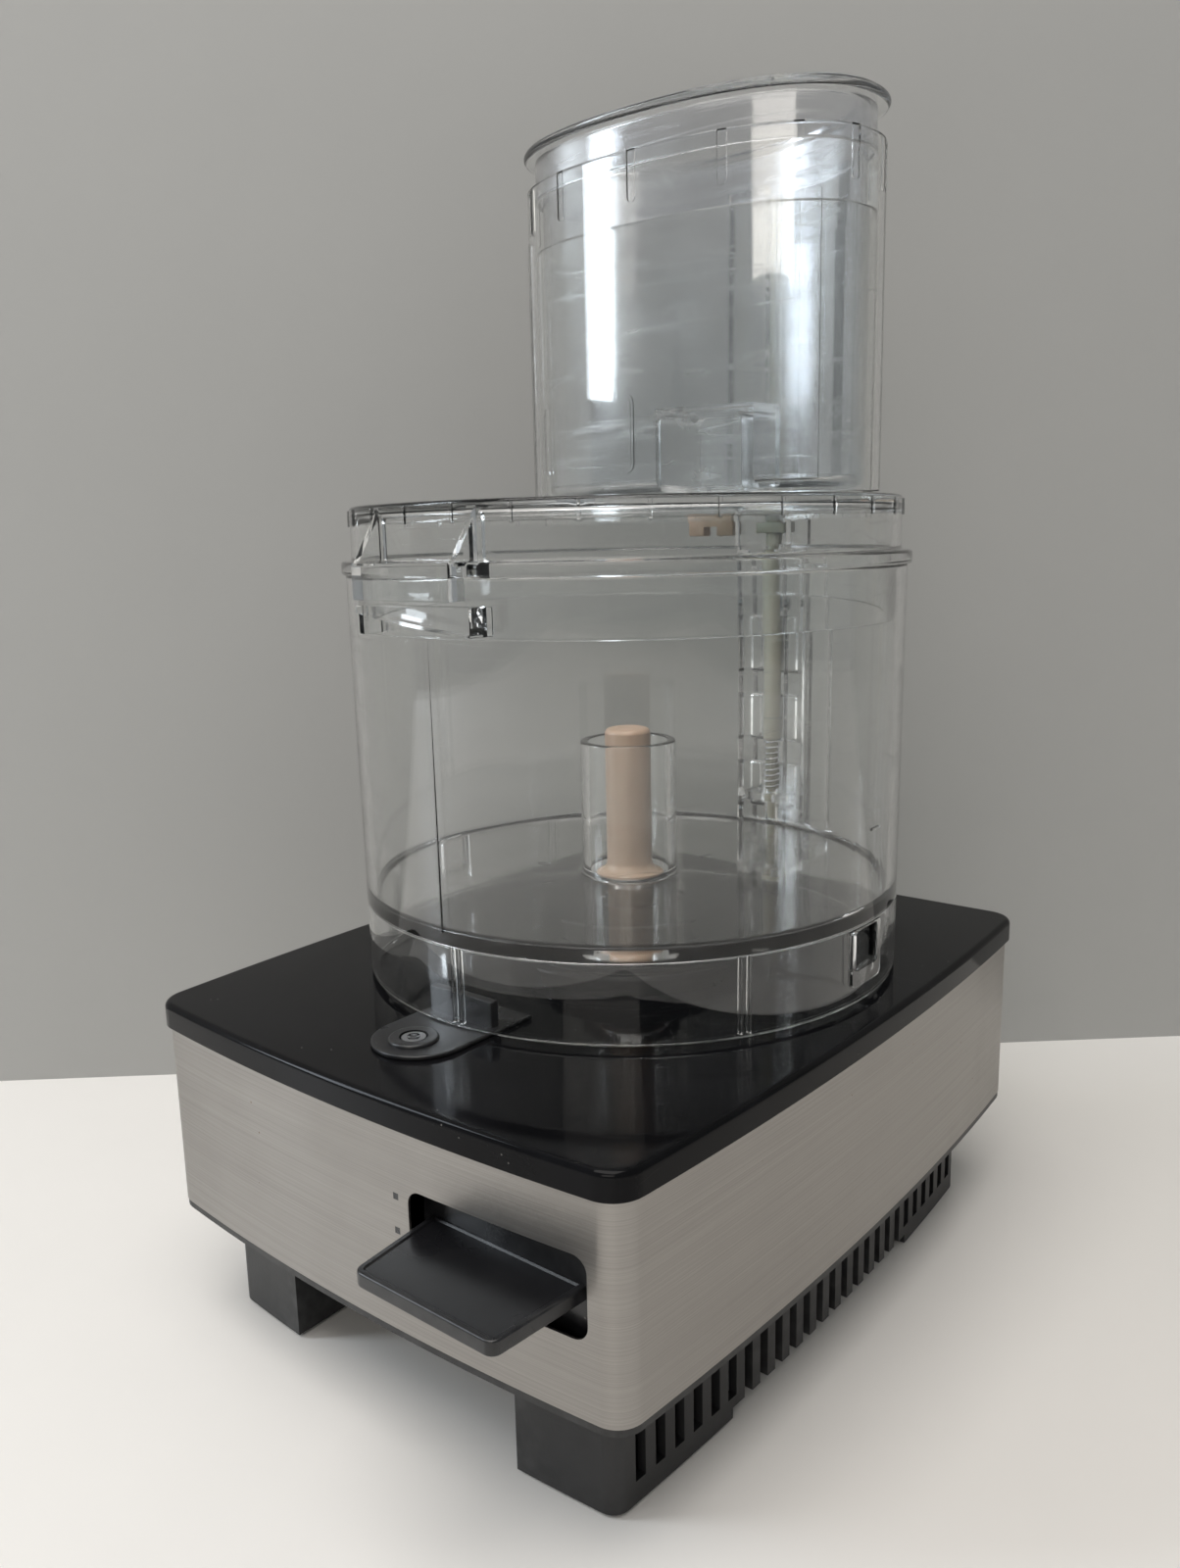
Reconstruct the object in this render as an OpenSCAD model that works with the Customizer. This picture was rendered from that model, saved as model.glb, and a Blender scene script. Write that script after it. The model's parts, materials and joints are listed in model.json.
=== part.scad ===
// Seven-cup food processor: motor base, bowl, lid with a wide feed tube, sleeve and pusher.
// Origin: on the drive spindle's axis, in the plane that the feet stand on.
// +Z up, -Y towards the front (the control lever), +Y towards the bowl handle. Millimetres.

/* [Base] */
// Half width of the steel wrap at the front corners
base_half_w = 88; // [84:1:100]
// Distance from the spindle to the steel's front corners
base_front = 120; // [112:1:130]
// Distance from the spindle to the rear of the base
base_rear = 107; // [104:1:116]
// How far the sides bow outwards
side_bow = 5.2; // [3:0.1:8]
// How far the front bows outwards
front_bow = 4.7; // [3:0.1:8]
// Plan radius of the base corners
base_corner_r = 8; // [5:0.5:11]
// Height of the steel's lower edge
steel_z = 38; // [34:1:41]
// Height of the steel's upper edge
steel_top = 96.4; // [95:0.2:104]
// Sheet thickness of the steel wrap
steel_t = 0.8; // [0.5:0.1:1.2]
// Height of the cover's top face
cover_top = 103; // [102.6:0.2:111]
// Thickness of the cover plate
cover_t = 3; // [2.4:0.2:3.6]
// How far the cover's lip overhangs the steel
cover_lip = 1.4; // [0.8:0.1:2.2]

/* [Housing] */
// Inset of the lower housing from the steel
tub_inset = 13; // [10:0.5:16]
// Wall of the lower housing
tub_wall = 2.5; // [2:0.1:3]
// Height of the comb's lower edge between the feet
comb_z = 4.3; // [3:0.1:6]
// Length of the front feet along the sides
front_foot_l = 46.5; // [40:0.5:50]
// Length of the rear feet along the sides
rear_foot_l = 48; // [40:0.5:52]
// Width of the feet across the base
foot_w = 32; // [26:0.5:36]
// Number of vent slots in each side
vent_count = 25; // [20:1:26]
// Width of a vent slot
vent_w = 3.8; // [3:0.1:4.2]
// How far the rubber pads stand out of the feet
pad_proud = 1.2; // [0.8:0.1:2]

/* [Lever] */
// Width of the lever window
window_w = 54.7; // [50:0.5:56]
// Height of the lever window
window_h = 21.3; // [20:0.1:23]
// Middle of the window, to the right of the spindle
window_x = 51.5; // [49:0.5:53]
// Height of the window's middle
window_z = 69; // [68:0.2:71]
// Length from the lever's pivot to its shield
lever_r = 56.5; // [52:0.5:57.5]
// How far the paddle stands out of the steel
paddle_out = 22; // [16:0.5:24]
// Thickness of the paddle
paddle_t = 4; // [3:0.1:4.6]
// Diameter of the lever's pivot pin
pivot_d = 5; // [4:0.5:6]

/* [Motor] */
// Side of the stator stack
stator_side = 86; // [80:1:88]
// Height of the stator stack
stator_h = 36; // [30:1:38]
// Radius of the rotor
rotor_r = 25; // [22:0.5:27]
// Gap between the rotor and the stator
air_gap = 0.4; // [0.3:0.05:0.6]
// Diameter of the motor shaft
shaft_d = 10; // [9:0.5:11]
// Radial running clearance in the bushes
bush_gap = 0.04; // [0.02:0.01:0.08]

/* [Bowl] */
// Outer radius of the bowl at its lower edge
bowl_r = 85.2; // [82:0.2:86]
// Growth of the bowl's radius up to its rim
bowl_draft = 0.9; // [0.4:0.1:1.4]
// Height of the bowl's rim above its lower edge
bowl_h = 123.6; // [110:0.2:140]
// Wall of the bowl
bowl_wall = 2.6; // [2.2:0.1:3]
// Height of the bowl's floor above its lower edge
floor_h = 25.8; // [24:0.1:28]
// Thickness of the bowl's floor
floor_t = 3.1; // [2.5:0.1:3.6]
// Outer radius of the hub tube
hub_r = 15.4; // [15:0.1:17]
// Height of the hub tube above the floor
hub_h = 43.2; // [38:0.2:48]
// Wall of the hub tube
hub_wall = 2.6; // [2.2:0.1:2.8]
// Radius of the spindle sheath
sheath_r = 7.35; // [6.8:0.05:7.6]
// How far the sheath stands above the hub tube
sheath_proud = 3.8; // [2:0.1:6]

/* [Lid] */
// Height of the lid's top above the bowl's rim
lid_h = 19.8; // [16:0.2:24]
// Thickness of the lid's flange
lid_flange_t = 4.1; // [3.4:0.1:4.6]
// Wall of the lid
lid_wall = 2.4; // [2:0.1:2.8]
// Depth of the lid's skirt inside the bowl
lid_skirt = 16; // [12:0.5:20]

/* [Feed tube] */
// Half length of the outer sleeve
sleeve_a = 62.7; // [58:0.1:64]
// Half width of the outer sleeve
sleeve_b = 34.8; // [32:0.1:36]
// Distance of the feed tube's middle behind the spindle
tube_y = 40.6; // [38:0.2:42]
// Wall of the sleeve, the feed tube and the pusher
tube_wall = 2.2; // [1.8:0.1:2.4]
// Height of the sleeve
sleeve_h = 101.4; // [90:0.2:108]
// Height of the lid's feed tube above the lid
tube_h = 83; // [70:0.5:85]
// How far the pusher's flange stands above the sleeve
pusher_proud = 12; // [8:0.5:14]
// Clearance between sliding shells
slide_gap = 0.6; // [0.4:0.05:0.8]

/* [Hidden] */
$fn = 96;
eps = 0.01;
round_fn = 32;            // segments of small screws, pins and springs
arc_steps = 16;           // points along each bowed side of the base
fit_gap = 0.15;           // clearance between assembled pieces
screw_r = 2;
press = 0.15;             // how far a thread or a press fit bites into its hole

// Base
plan_mid_y = (base_rear - base_front) / 2;
plan_half_l = (base_rear + base_front) / 2;
side_r = (pow(plan_half_l, 2) + pow(side_bow, 2)) / (2 * side_bow);
front_r = (pow(base_half_w, 2) + pow(front_bow, 2)) / (2 * front_bow);
cover_z = cover_top - cover_t;
deck_z = steel_z + 1;
deck_t = 3;
deck_top = deck_z + deck_t;
tub_r = 5;
floor_z = 6;
ledge_t = 2;
pad_r = 8;
pad_h = 3.4;
post_x = base_half_w - 26;
post_front_y = -base_front + 72;
post_rear_y = base_rear - 41;
pad_front_y = -base_front + 25;
pad_rear_y = base_rear - 24;
post_r = 5.2;
post_join_z = 60;
seat_screw_z = 26;
foot_x = base_half_w - tub_inset + 2 - foot_w;
front_foot_y = -base_front + tub_inset + front_foot_l;
rear_foot_y = base_rear - tub_inset - rear_foot_l;
vent_start = -base_front + tub_inset + 6;
vent_pitch = (plan_half_l * 2 - 2 * tub_inset - 9) / vent_count;
vent_top = steel_z - 3;
vent_low = 7.5;
vent_x = base_half_w - tub_inset - 5;
arch_r = 9;
arch_z = 34;

// Motor: heights, from the lower bush up
stator_z = 34;
stator_top = stator_z + stator_h;
coil_h = 11;
coil_in = rotor_r + 2;
bracket_t = 3;
lower_plate_z = 17;
upper_plate_z = stator_top + coil_h + 2;
leg_r = 6;
bolt_xy = stator_side / 2 - 8;
coil_out = min(coil_in + 11, bolt_xy * sqrt(2) - leg_r - 0.4);
bolt_r = 2;
bush_r = 9;
bush_h = 9;
grommet_h = 3;
boss_r = 7;
shaft_r = shaft_d / 2;
shaft_z = 13;
slot_count = 12;
slot_r = 3;
slot_ring = min(rotor_r + 8, coil_out - slot_r - 1);
end_ring_h = 3;
fan_h = 6;
dome_r = 40;
dome_top = 118;
neck_r = 11.4;
neck_top = cover_top + 1.6 + floor_h - 4;
seal_r = 9;
seal_h = 7;
seal_z = dome_top - cover_t - seal_h;
latch_screw_y = [-98, -71];
latch_r = 14;
latch_mid_y = -95;
latch_rear_y = -65;
latch_t = 1.4;
latch_boss_r = 7;
latch_boss_h = 2.4;
latch_web_y = -79;
latch_web_w = 24;
latch_web_h = 9;
latch_head_r = 3.4;
latch_head_h = 1.4;
latch_sink = 0.8;         // how deep the front screw sits in its boss
latch_screw_r = 1.5;
cap_r = 15;
cap_l = 56;
cap_x = -67;
cap_y = -30;
strap_t = 1.5;
strap_w = 12;

// Lever and switch
pivot_y = -62;
paddle_tip = base_front + front_bow + paddle_out + pivot_y;
shield_t = 2;
shield_half_h = 17;
arm_x = 17.5;
arm_w = 4;
fork_w = 4;
fork_x = arm_x + arm_w / 2 + 4.5;
rail_r = 1.5;
rail_reach = 28;
paddle_front_w = 43.9;
paddle_back_w = 50.5;
switch_w = 18;
switch_d = 16;
switch_h = 27;
slider_w = 6;

// Bowl
bowl_z = cover_top + 1.6;
rim_z = bowl_z + bowl_h;
floor_top = bowl_z + floor_h;
hub_top = floor_top + hub_h;
rim_r = bowl_r + bowl_draft;
lug_reach = 93.6;
ramp_right = 13;         // ends of the bowl's ramp and the lid's lug, in degrees from the front
ramp_left = 13.5;
ramp_end = 22;
ramp_t = 14.6;
lug_right = 9.4;
lug_left = 14.2;
sheath_top = hub_top + sheath_proud;
collar_r = 11.1;
collar_z = floor_top - 2.6;

// Handle and safety rods, all on one line behind the bowl
gland_x = -44;
gland_z = 62;
gland_r = 6.2;
rod_y = 92.6;
rod_x = 0;
chan_half_w = 11;
chan_rear = 101;
chan_wall = 2.2;
handle_half_w = 14;
handle_rear = 123;
handle_low = bowl_z + 7;
handle_top = rim_z - 3;
handle_lap = 2.6;
handle_wall = 2.6;
handle_depth = handle_rear - chan_rear + handle_lap;
handle_mid_y = (handle_rear + chan_rear - handle_lap) / 2;
rod_low = cover_top + 3.5;
rod_thick = 3.4;
rod_thin = 2.4;
rod_step = bowl_z + 56;
rod_top = rim_z - 1.2;
spring_low = bowl_z + 36;
rod_gap = 1.2;            // free gap between one safety rod and the next
plunger_r = 3.6;
plunger_top = rod_low - rod_gap;
plunger_low = cover_top - 21;
rod_guide_r = plunger_r + 0.5;

// Lid
lid_z = rim_z;
lid_top = lid_z + lid_h;
lid_r = rim_r - 2;
flange_r = rim_r + 1.2;
skirt_r = rim_r - bowl_wall - 0.7;
lid_rib_count = 30;
box_half_w = 12;
box_low = lid_z + 1;
cap_rear = 101;
actuator_top = lid_top + 1.4;
actuator_low = rod_top + rod_gap;

// Feed tube, sleeve and pusher
oval_n = 2.3;
sleeve_z = lid_top + 1.6;
sleeve_top = sleeve_z + sleeve_h;
tube_a = sleeve_a - tube_wall - slide_gap;
tube_b = sleeve_b - tube_wall - slide_gap;
tube_top = lid_top + tube_h;
pusher_a = tube_a - tube_wall - slide_gap;
pusher_b = tube_b - tube_wall - slide_gap;
pusher_low = lid_top + 3;
pusher_top = sleeve_top + pusher_proud;
pusher_flange_t = 3;
collar_h = pusher_proud + 4;
column_half_w = 8.5;
column_rear = rod_y + 6.5;
push_rod_r = 3.4;
push_rod_low = actuator_top + rod_gap;
push_rod_top = sleeve_top - 3;
notch_w = 27;
notch_h = 23;
notch_d = 22;
notch_x = 20;
notch_y = tube_y - pusher_b;
window_in_collar_x = -40;

// ---------- shared shapes ----------

// Corner where the inset side and front arcs meet, by repeated substitution.
function corner(inset, y_at, k = 4, x = 0) =
    k == 0 ? [side_x(y_at(x, inset), inset), y_at(x, inset)]
           : corner(inset, y_at, k - 1, side_x(y_at(x, inset), inset));
function side_x(y, inset) =
    base_half_w + side_bow - side_r + sqrt(pow(side_r - inset, 2) - pow(y - plan_mid_y, 2));
function front_y(x, inset) =
    -(base_front + front_bow - front_r + sqrt(pow(front_r - inset, 2) - pow(x, 2)));
function rear_y(x, inset) = base_rear - inset;
// Plan of the base, inset all round, with rounded corners of radius r.
function base_plan(inset, r) =
    let (t = inset + r,
         cf = corner(t, function(x, i) front_y(x, i)),
         cr = corner(t, function(x, i) rear_y(x, i)),
         a_f = asin(cf[0] / (front_r - t)),
         a_s1 = asin((cf[1] - plan_mid_y) / (side_r - t)),
         a_s2 = asin((cr[1] - plan_mid_y) / (side_r - t)),
         half = concat(
             [for (i = [0:arc_steps / 2]) let (a = a_f * i / (arc_steps / 2))
                 [(front_r - inset) * sin(a),
                  -(base_front + front_bow - front_r) - (front_r - inset) * cos(a)]],
             [for (i = [1:5]) let (a = -90 + a_f + (90 - a_f + a_s1) * i / 6)
                 cf + r * [cos(a), sin(a)]],
             [for (i = [0:arc_steps]) let (a = a_s1 + (a_s2 - a_s1) * i / arc_steps)
                 [base_half_w + side_bow - side_r + (side_r - inset) * cos(a),
                  plan_mid_y + (side_r - inset) * sin(a)]],
             [for (i = [1:6]) let (a = a_s2 + (90 - a_s2) * i / 6) cr + r * [cos(a), sin(a)]]))
    concat(half, [for (i = [len(half) - 1:-1:1]) [-half[i][0], half[i][1]]]);

module base_slab(inset, r, z0, z1) {
    translate([0, 0, z0]) linear_extrude(z1 - z0) polygon(base_plan(inset, r));
}

module base_ring(inset, r, wall, z0, z1) {
    difference() {
        base_slab(inset, r, z0, z1);
        base_slab(inset + wall, max(r - wall, 0.5), z0 - 1, z1 + 1);
    }
}

// A tube or rod with its foot at z0.
module tube(r_out, r_in, z0, z1) {
    translate([0, 0, z0]) difference() {
        cylinder(r = r_out, h = z1 - z0);
        if (r_in > 0) translate([0, 0, -1]) cylinder(r = r_in, h = z1 - z0 + 2);
    }
}

module rod(r, z0, z1) {
    translate([0, 0, z0]) cylinder(r = r, h = z1 - z0);
}

// A flat-sided oval for the feed tube's shells.
function oval(a, b, n = oval_n, steps = 72) =
    [for (i = [0:steps - 1]) let (t = 360 * i / steps, c = cos(t), s = sin(t))
        [a * sign(c) * pow(abs(c), 2 / n), b * sign(s) * pow(abs(s), 2 / n)]];

module oval_slab(a, b, z0, z1) {
    translate([0, tube_y, z0]) linear_extrude(z1 - z0) polygon(oval(a, b));
}

module oval_shell(a, b, wall, z0, z1) {
    difference() {
        oval_slab(a, b, z0, z1);
        oval_slab(a - wall, b - wall, z0 - 1, z1 + 1);
    }
}

// A rectangle with round corners, centred, in the XY plane.
module round_rect(w, h, r) {
    square([w - 2 * r, h], center = true);
    square([w, h - 2 * r], center = true);
    for (x = [-1, 1], y = [-1, 1]) translate([x * (w / 2 - r), y * (h / 2 - r)])
        circle(r = r, $fn = round_fn);
}

// An upright coil spring of round wire, standing on z0.
module coil_spring(r, wire, z0, z1, turns) {
    per_turn = 16;
    rings = turns * per_turn;
    sides = 8;
    pts = [for (i = [0:rings]) let (a = 360 * i / per_turn,
        z = z0 + wire / 2 + (z1 - z0 - wire) * i / rings)
        for (j = [0:sides - 1]) let (b = 360 * j / sides, q = r + wire / 2 * cos(b))
            [q * cos(a), q * sin(a), z + wire / 2 * sin(b)]];
    sides_faces = [for (i = [0:rings - 1], j = [0:sides - 1]) let (k = (j + 1) % sides)
        [i * sides + j, (i + 1) * sides + j, (i + 1) * sides + k, i * sides + k]];
    caps = [[for (j = [0:sides - 1]) j], [for (j = [sides - 1:-1:0]) rings * sides + j]];
    polyhedron(pts, concat(sides_faces, caps), convexity = 8);
}

module at_posts() {
    for (x = [-post_x, post_x], y = [post_front_y, post_rear_y]) translate([x, y, 0]) children();
}

module at_pads() {
    for (x = [-post_x, post_x], y = [pad_front_y, pad_rear_y]) translate([x, y, 0]) children();
}

module at_bolts() {
    for (x = [-bolt_xy, bolt_xy], y = [-bolt_xy, bolt_xy]) translate([x, y, 0]) children();
}

// ---------- base ----------

module steel_wrap() {
    color("silver") difference() {
        base_ring(0, base_corner_r, steel_t, steel_z, steel_top);
        translate([0, base_rear, (steel_z + steel_top) / 2])
            cube([2 * (base_half_w - 9), 20, steel_top - steel_z + 2], center = true);
        translate([window_x, -base_front, window_z]) rotate([90, 0, 0])
            linear_extrude(30, center = true) round_rect(window_w, window_h, 4);
    }
}

module top_cover() {
    color("#101012") difference() {
        union() {
            base_slab(-cover_lip, base_corner_r + cover_lip, cover_z, cover_top - 1.2);
            base_slab(0.4 - cover_lip, base_corner_r + cover_lip - 0.4, cover_z, cover_top - 0.4);
            base_slab(1.2 - cover_lip, base_corner_r + cover_lip - 1.2, cover_z, cover_top);
            // lip outside the steel, land on its edge and rib inside it
            base_ring(-cover_lip, base_corner_r + cover_lip, cover_lip - 0.2, steel_top - 1, cover_z + 1);
            base_ring(-cover_lip, base_corner_r + cover_lip, cover_lip + 3, steel_top, cover_z + 1);
            base_ring(steel_t + fit_gap, base_corner_r - steel_t - fit_gap, 2.4, steel_top - 8,
                cover_z + 1);
            at_posts() rod(post_r, post_join_z + fit_gap, cover_z + 1);
            at_bolts() rod(boss_r, upper_plate_z + bracket_t + grommet_h, cover_z + 1);
            for (y = latch_screw_y) translate([0, y, 0]) rod(4, cover_z - 8, cover_z + 1);
            translate([rod_x, rod_y, 0]) rod(rod_guide_r + 2, cover_z - 9, cover_z + 1);
            // dome and neck that the bowl stands over
            rod(dome_r, cover_z, cover_top + 6);
            rod(dome_r - 3, cover_z, cover_top + 8);
            rod(dome_r - 10, cover_z, dome_top);
            rod(neck_r, cover_z, neck_top);
        }
        at_posts() rod(screw_r - press, post_join_z - 1, cover_z - 2);
        at_bolts() rod(bolt_r - press, upper_plate_z, cover_z - 1);
        // hollow of the dome, the seal's seat and the shaft's way out
        rod(dome_r - 6, cover_z - 1, cover_top + 4);
        rod(dome_r - 13, cover_z - 1, dome_top - cover_t - seal_h);
        rod(seal_r - press, dome_top - cover_t - seal_h - 1, dome_top - cover_t);
        rod(shaft_r + 1, cover_z - 1, neck_top + 1);
        translate([rod_x, rod_y, 0]) rod(rod_guide_r, cover_z - 12, cover_top + 1);
        for (y = latch_screw_y) translate([0, y, 0]) rod(latch_screw_r - press, cover_z - 7, cover_top + 1);
    }
}

module bowl_latch_clip() {
    color("#17171a") translate([0, 0, cover_top]) difference() {
        union() {
            translate([0, latch_mid_y, 0]) rod(latch_r, 0, latch_t);
            translate([-latch_r, latch_mid_y, 0]) cube([2 * latch_r, latch_rear_y - latch_mid_y, latch_t]);
            translate([0, latch_screw_y[0], 0]) rod(latch_boss_r, 0, latch_boss_h);
            translate([-latch_web_w / 2, latch_web_y, 0]) cube([latch_web_w, 3, latch_web_h]);
        }
        for (y = latch_screw_y) translate([0, y, 0]) rod(latch_screw_r + 0.3, -1, 4);
        translate([0, latch_screw_y[0], 0]) rod(latch_head_r + 0.6, latch_sink, 5);
    }
}

module latch_screws() {
    color("#2a2a2c") for (y = latch_screw_y) translate([0, y, cover_top]) {
        seat = y == latch_screw_y[0] ? latch_sink : latch_t;
        difference() {
            rod(latch_head_r, seat, seat + latch_head_h);
            for (a = [0, 90]) rotate(a) translate([-2, -0.45, seat + latch_head_h / 2]) cube([4, 0.9, 2]);
        }
        rod(latch_screw_r, -8, seat + 0.2);
    }
}

// The four feet, as corner blocks of the lower housing between z0 and z1.
module feet(inset, r, y_front, y_rear, x_in, z0, z1) {
    intersection() {
        base_slab(inset, r, z0, z1);
        for (side = [-1, 1], front = [0, 1])
            translate([side > 0 ? x_in : -x_in - 2 * foot_w, front > 0 ? -base_front : y_rear, z0 - 1])
                cube([2 * foot_w, front > 0 ? y_front + base_front : base_rear, z1 - z0 + 2]);
    }
}

module side_vents() {
    for (side = [-1, 1], k = [0:vent_count - 1]) {
        y = vent_start + vent_pitch * k;
        in_comb = y > front_foot_y && y + vent_w < rear_foot_y;
        z_low = in_comb ? -1 : vent_low;
        translate([side > 0 ? vent_x : -vent_x - 2 * tub_inset, y, z_low])
            cube([2 * tub_inset, vent_w, vent_top - z_low]);
    }
}

module bottom_housing() {
    belly = stator_side + 8;
    color("#1b1b1d") difference() {
        union() {
            // comb walls and deck
            base_ring(tub_inset, tub_r, tub_wall, comb_z, deck_z + 1);
            base_slab(steel_t + fit_gap, base_corner_r - steel_t - fit_gap, deck_z, deck_top);
            base_ring(steel_t + fit_gap, base_corner_r - steel_t - fit_gap, 2, deck_z, deck_top + 6);
            // flange that carries the steel's lower edge
            base_ring(0.2, base_corner_r - 0.2, 4, deck_z - 1 - ledge_t, deck_z - 1);
            base_ring(steel_t + fit_gap, base_corner_r - steel_t - fit_gap, 3, deck_z - 1 - ledge_t,
                deck_z + 1);
            difference() {
                feet(tub_inset, tub_r, front_foot_y, rear_foot_y, foot_x, pad_proud, deck_z + 1);
                feet(tub_inset + tub_wall, tub_r - tub_wall, front_foot_y - tub_wall,
                    rear_foot_y + tub_wall,
                    foot_x + tub_wall, floor_z, deck_z);
            }
            // belly that the motor hangs in
            translate([0, 0, floor_z]) linear_extrude(deck_z + 1 - floor_z)
                round_rect(belly + 2 * tub_wall, belly + 2 * tub_wall, 6);
            at_posts() rod(post_r, floor_z - 1, post_join_z);
            for (x = [-1, 1]) translate([window_x + x * fork_x - fork_w / 2, pivot_y - 7, deck_z])
                cube([fork_w, 14, window_z + 6 - deck_z]);
        }
        translate([0, 0, floor_z + tub_wall]) linear_extrude(deck_top) round_rect(belly, belly, 4);
        for (k = [-4:4]) translate([-28, k * 9 - 2, floor_z - 1]) cube([56, 4, tub_wall + 2]);
        side_vents();
        // arches between the feet, front and rear
        for (y = [-base_front, base_rear]) translate([0, y, 0]) rotate([90, 0, 0])
            linear_extrude(2 * tub_inset + 2 * tub_wall + 12, center = true)
                round_rect(2 * foot_x, 2 * arch_z, arch_r);
        at_posts() {
            rod(screw_r + 0.2, 0, post_join_z + 1);
            rod(4.2, 0, seat_screw_z);
        }
        at_pads() rod(pad_r, 0, pad_h);
        translate([window_x, pivot_y, window_z]) rotate([0, 90, 0])
            cylinder(r = pivot_d / 2 - press, h = 2 * fork_x + 2 * fork_w, center = true, $fn = 48);
    }
}

// A plate across the rear between y0 and y1, clear of what lies at z0 and z1.
module panel_slab(half, y0, y1, z0, z1) {
    translate([-half, y0, z0 + fit_gap]) cube([2 * half, y1 - y0, z1 - z0 - 2 * fit_gap]);
}

module rear_panel() {
    half = base_half_w - 9 - fit_gap;
    low = deck_top + 6;
    high = steel_top - 8;
    inner_y = base_rear - steel_t - fit_gap - 2.4;
    color("#1b1b1d") difference() {
        union() {
            // skin in line with the steel, core between ring and rib, lip behind them
            panel_slab(half, base_rear - steel_t, base_rear, steel_z, steel_top);
            panel_slab(half - 2, inner_y - 2.4, base_rear - 0.4, low, high);
            panel_slab(half - 4, inner_y - 2.4, inner_y - 0.2, deck_top, cover_z);
        }
        translate([gland_x, base_rear, gland_z]) rotate([90, 0, 0])
            cylinder(r = gland_r + 0.2, h = 30, center = true);
    }
}

module rubber_feet() {
    color("#222222") at_pads() {
        rod(pad_r - 0.8, 0, 1);
        rod(pad_r - 0.1, 0.6, pad_h);
    }
}

module housing_screws() {
    color("#8a8a8c") at_posts() difference() {
        union() {
            rod(screw_r, seat_screw_z - 1, post_join_z + 18);
            rod(3.8, seat_screw_z - 3, seat_screw_z);
        }
        for (a = [0, 90]) rotate(a) translate([-2.2, -0.5, seat_screw_z - 4]) cube([4.4, 1, 2.4]);
    }
}

module cord_gland() {
    back = -steel_t - fit_gap - 4.8;
    color("#141416") translate([gland_x, base_rear, gland_z]) rotate([-90, 0, 0]) difference() {
        union() {
            rod(gland_r, back - 1, 1);
            rod(gland_r + 2.2, 0, 2.6);
            rod(gland_r + 2.2, back - 2.4, back);
            translate([0, 0, 2.6]) cylinder(r1 = gland_r, r2 = gland_r - 1.6, h = 9);
        }
        rod(3.4, back - 3, 20);
    }
}

// ---------- control lever ----------

module lever_pin() {
    color("#9a9a9c") translate([window_x, pivot_y, window_z]) rotate([0, 90, 0])
        cylinder(r = pivot_d / 2, h = 2 * fork_x + fork_w + 2, center = true, $fn = 48);
}

module control_lever() {
    color("#121214") translate([window_x, pivot_y, window_z]) difference() {
        union() {
            // curved shield behind the window
            intersection() {
                rotate([0, 90, 0]) difference() {
                    cylinder(r = lever_r, h = window_w + 1.8, center = true);
                    cylinder(r = lever_r - shield_t, h = window_w + 6, center = true);
                }
                translate([0, -lever_r, 0]) cube([window_w + 8, 30, 2 * shield_half_h], center = true);
            }
            // tapered paddle
            translate([0, 0, -paddle_t / 2]) linear_extrude(paddle_t) polygon([
                [-paddle_back_w / 2, -lever_r + 1], [paddle_back_w / 2, -lever_r + 1],
                [paddle_back_w / 2 - 0.6, -lever_r - 5],
                [paddle_front_w / 2 + 1, -paddle_tip + 3], [paddle_front_w / 2 - 2, -paddle_tip],
                [-paddle_front_w / 2 + 2, -paddle_tip], [-paddle_front_w / 2 - 1, -paddle_tip + 3],
                [-paddle_back_w / 2 + 0.6, -lever_r - 5]]);
            // arms back to the pivot
            for (x = [-arm_x, arm_x]) {
                translate([x - arm_w / 2, -lever_r + 0.8, -5]) cube([arm_w, lever_r, 10]);
                translate([x, 0, 0]) rotate([0, 90, 0])
                    cylinder(r = pivot_d / 2 + 3, h = arm_w, center = true);
            }
            translate([0, -rail_reach, 0]) rotate([0, 90, 0])
                cylinder(r = rail_r, h = 2 * arm_x, center = true, $fn = round_fn);
        }
        rotate([0, 90, 0]) cylinder(r = pivot_d / 2 + 0.06, h = 2 * arm_x + 20, center = true, $fn = 48);
    }
}

module control_switch() {
    body_y = pivot_y - rail_reach + 4;
    color("#3b3b40") translate([window_x, body_y, 0]) difference() {
        union() {
            translate([-switch_w / 2, 0, window_z - switch_h / 2]) cube([switch_w, switch_d, switch_h]);
            translate([-switch_w / 2, 4, deck_top])
                cube([switch_w, 8, window_z - switch_h / 2 - deck_top + 1]);
        }
        translate([-slider_w / 2 - 0.3, -1, window_z - 9]) cube([slider_w + 0.6, 9, 18]);
    }
}

module switch_slider() {
    color("#c9c4b4") translate([window_x, pivot_y - rail_reach, window_z]) difference() {
        translate([-slider_w / 2, -3.4, -4]) cube([slider_w, 14, 8]);
        translate([-slider_w / 2 - 1, -4.4, -rail_r - 0.25])
            cube([slider_w + 2, 4.4 + rail_r + 0.4, 2 * rail_r + 0.5]);
    }
}

// ---------- motor ----------

module stator_core() {
    color("#77797c") difference() {
        translate([0, 0, stator_z]) linear_extrude(stator_h) round_rect(stator_side, stator_side, 12);
        rod(rotor_r + air_gap, stator_z - 1, stator_top + 1);
        for (i = [0:slot_count - 1]) rotate(360 / slot_count * i) translate([slot_ring, 0, 0])
            rod(slot_r + 0.2, stator_z - 1, stator_top + 1);
        at_bolts() rod(bolt_r + 0.3, stator_z - 1, stator_top + 1);
    }
}

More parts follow.
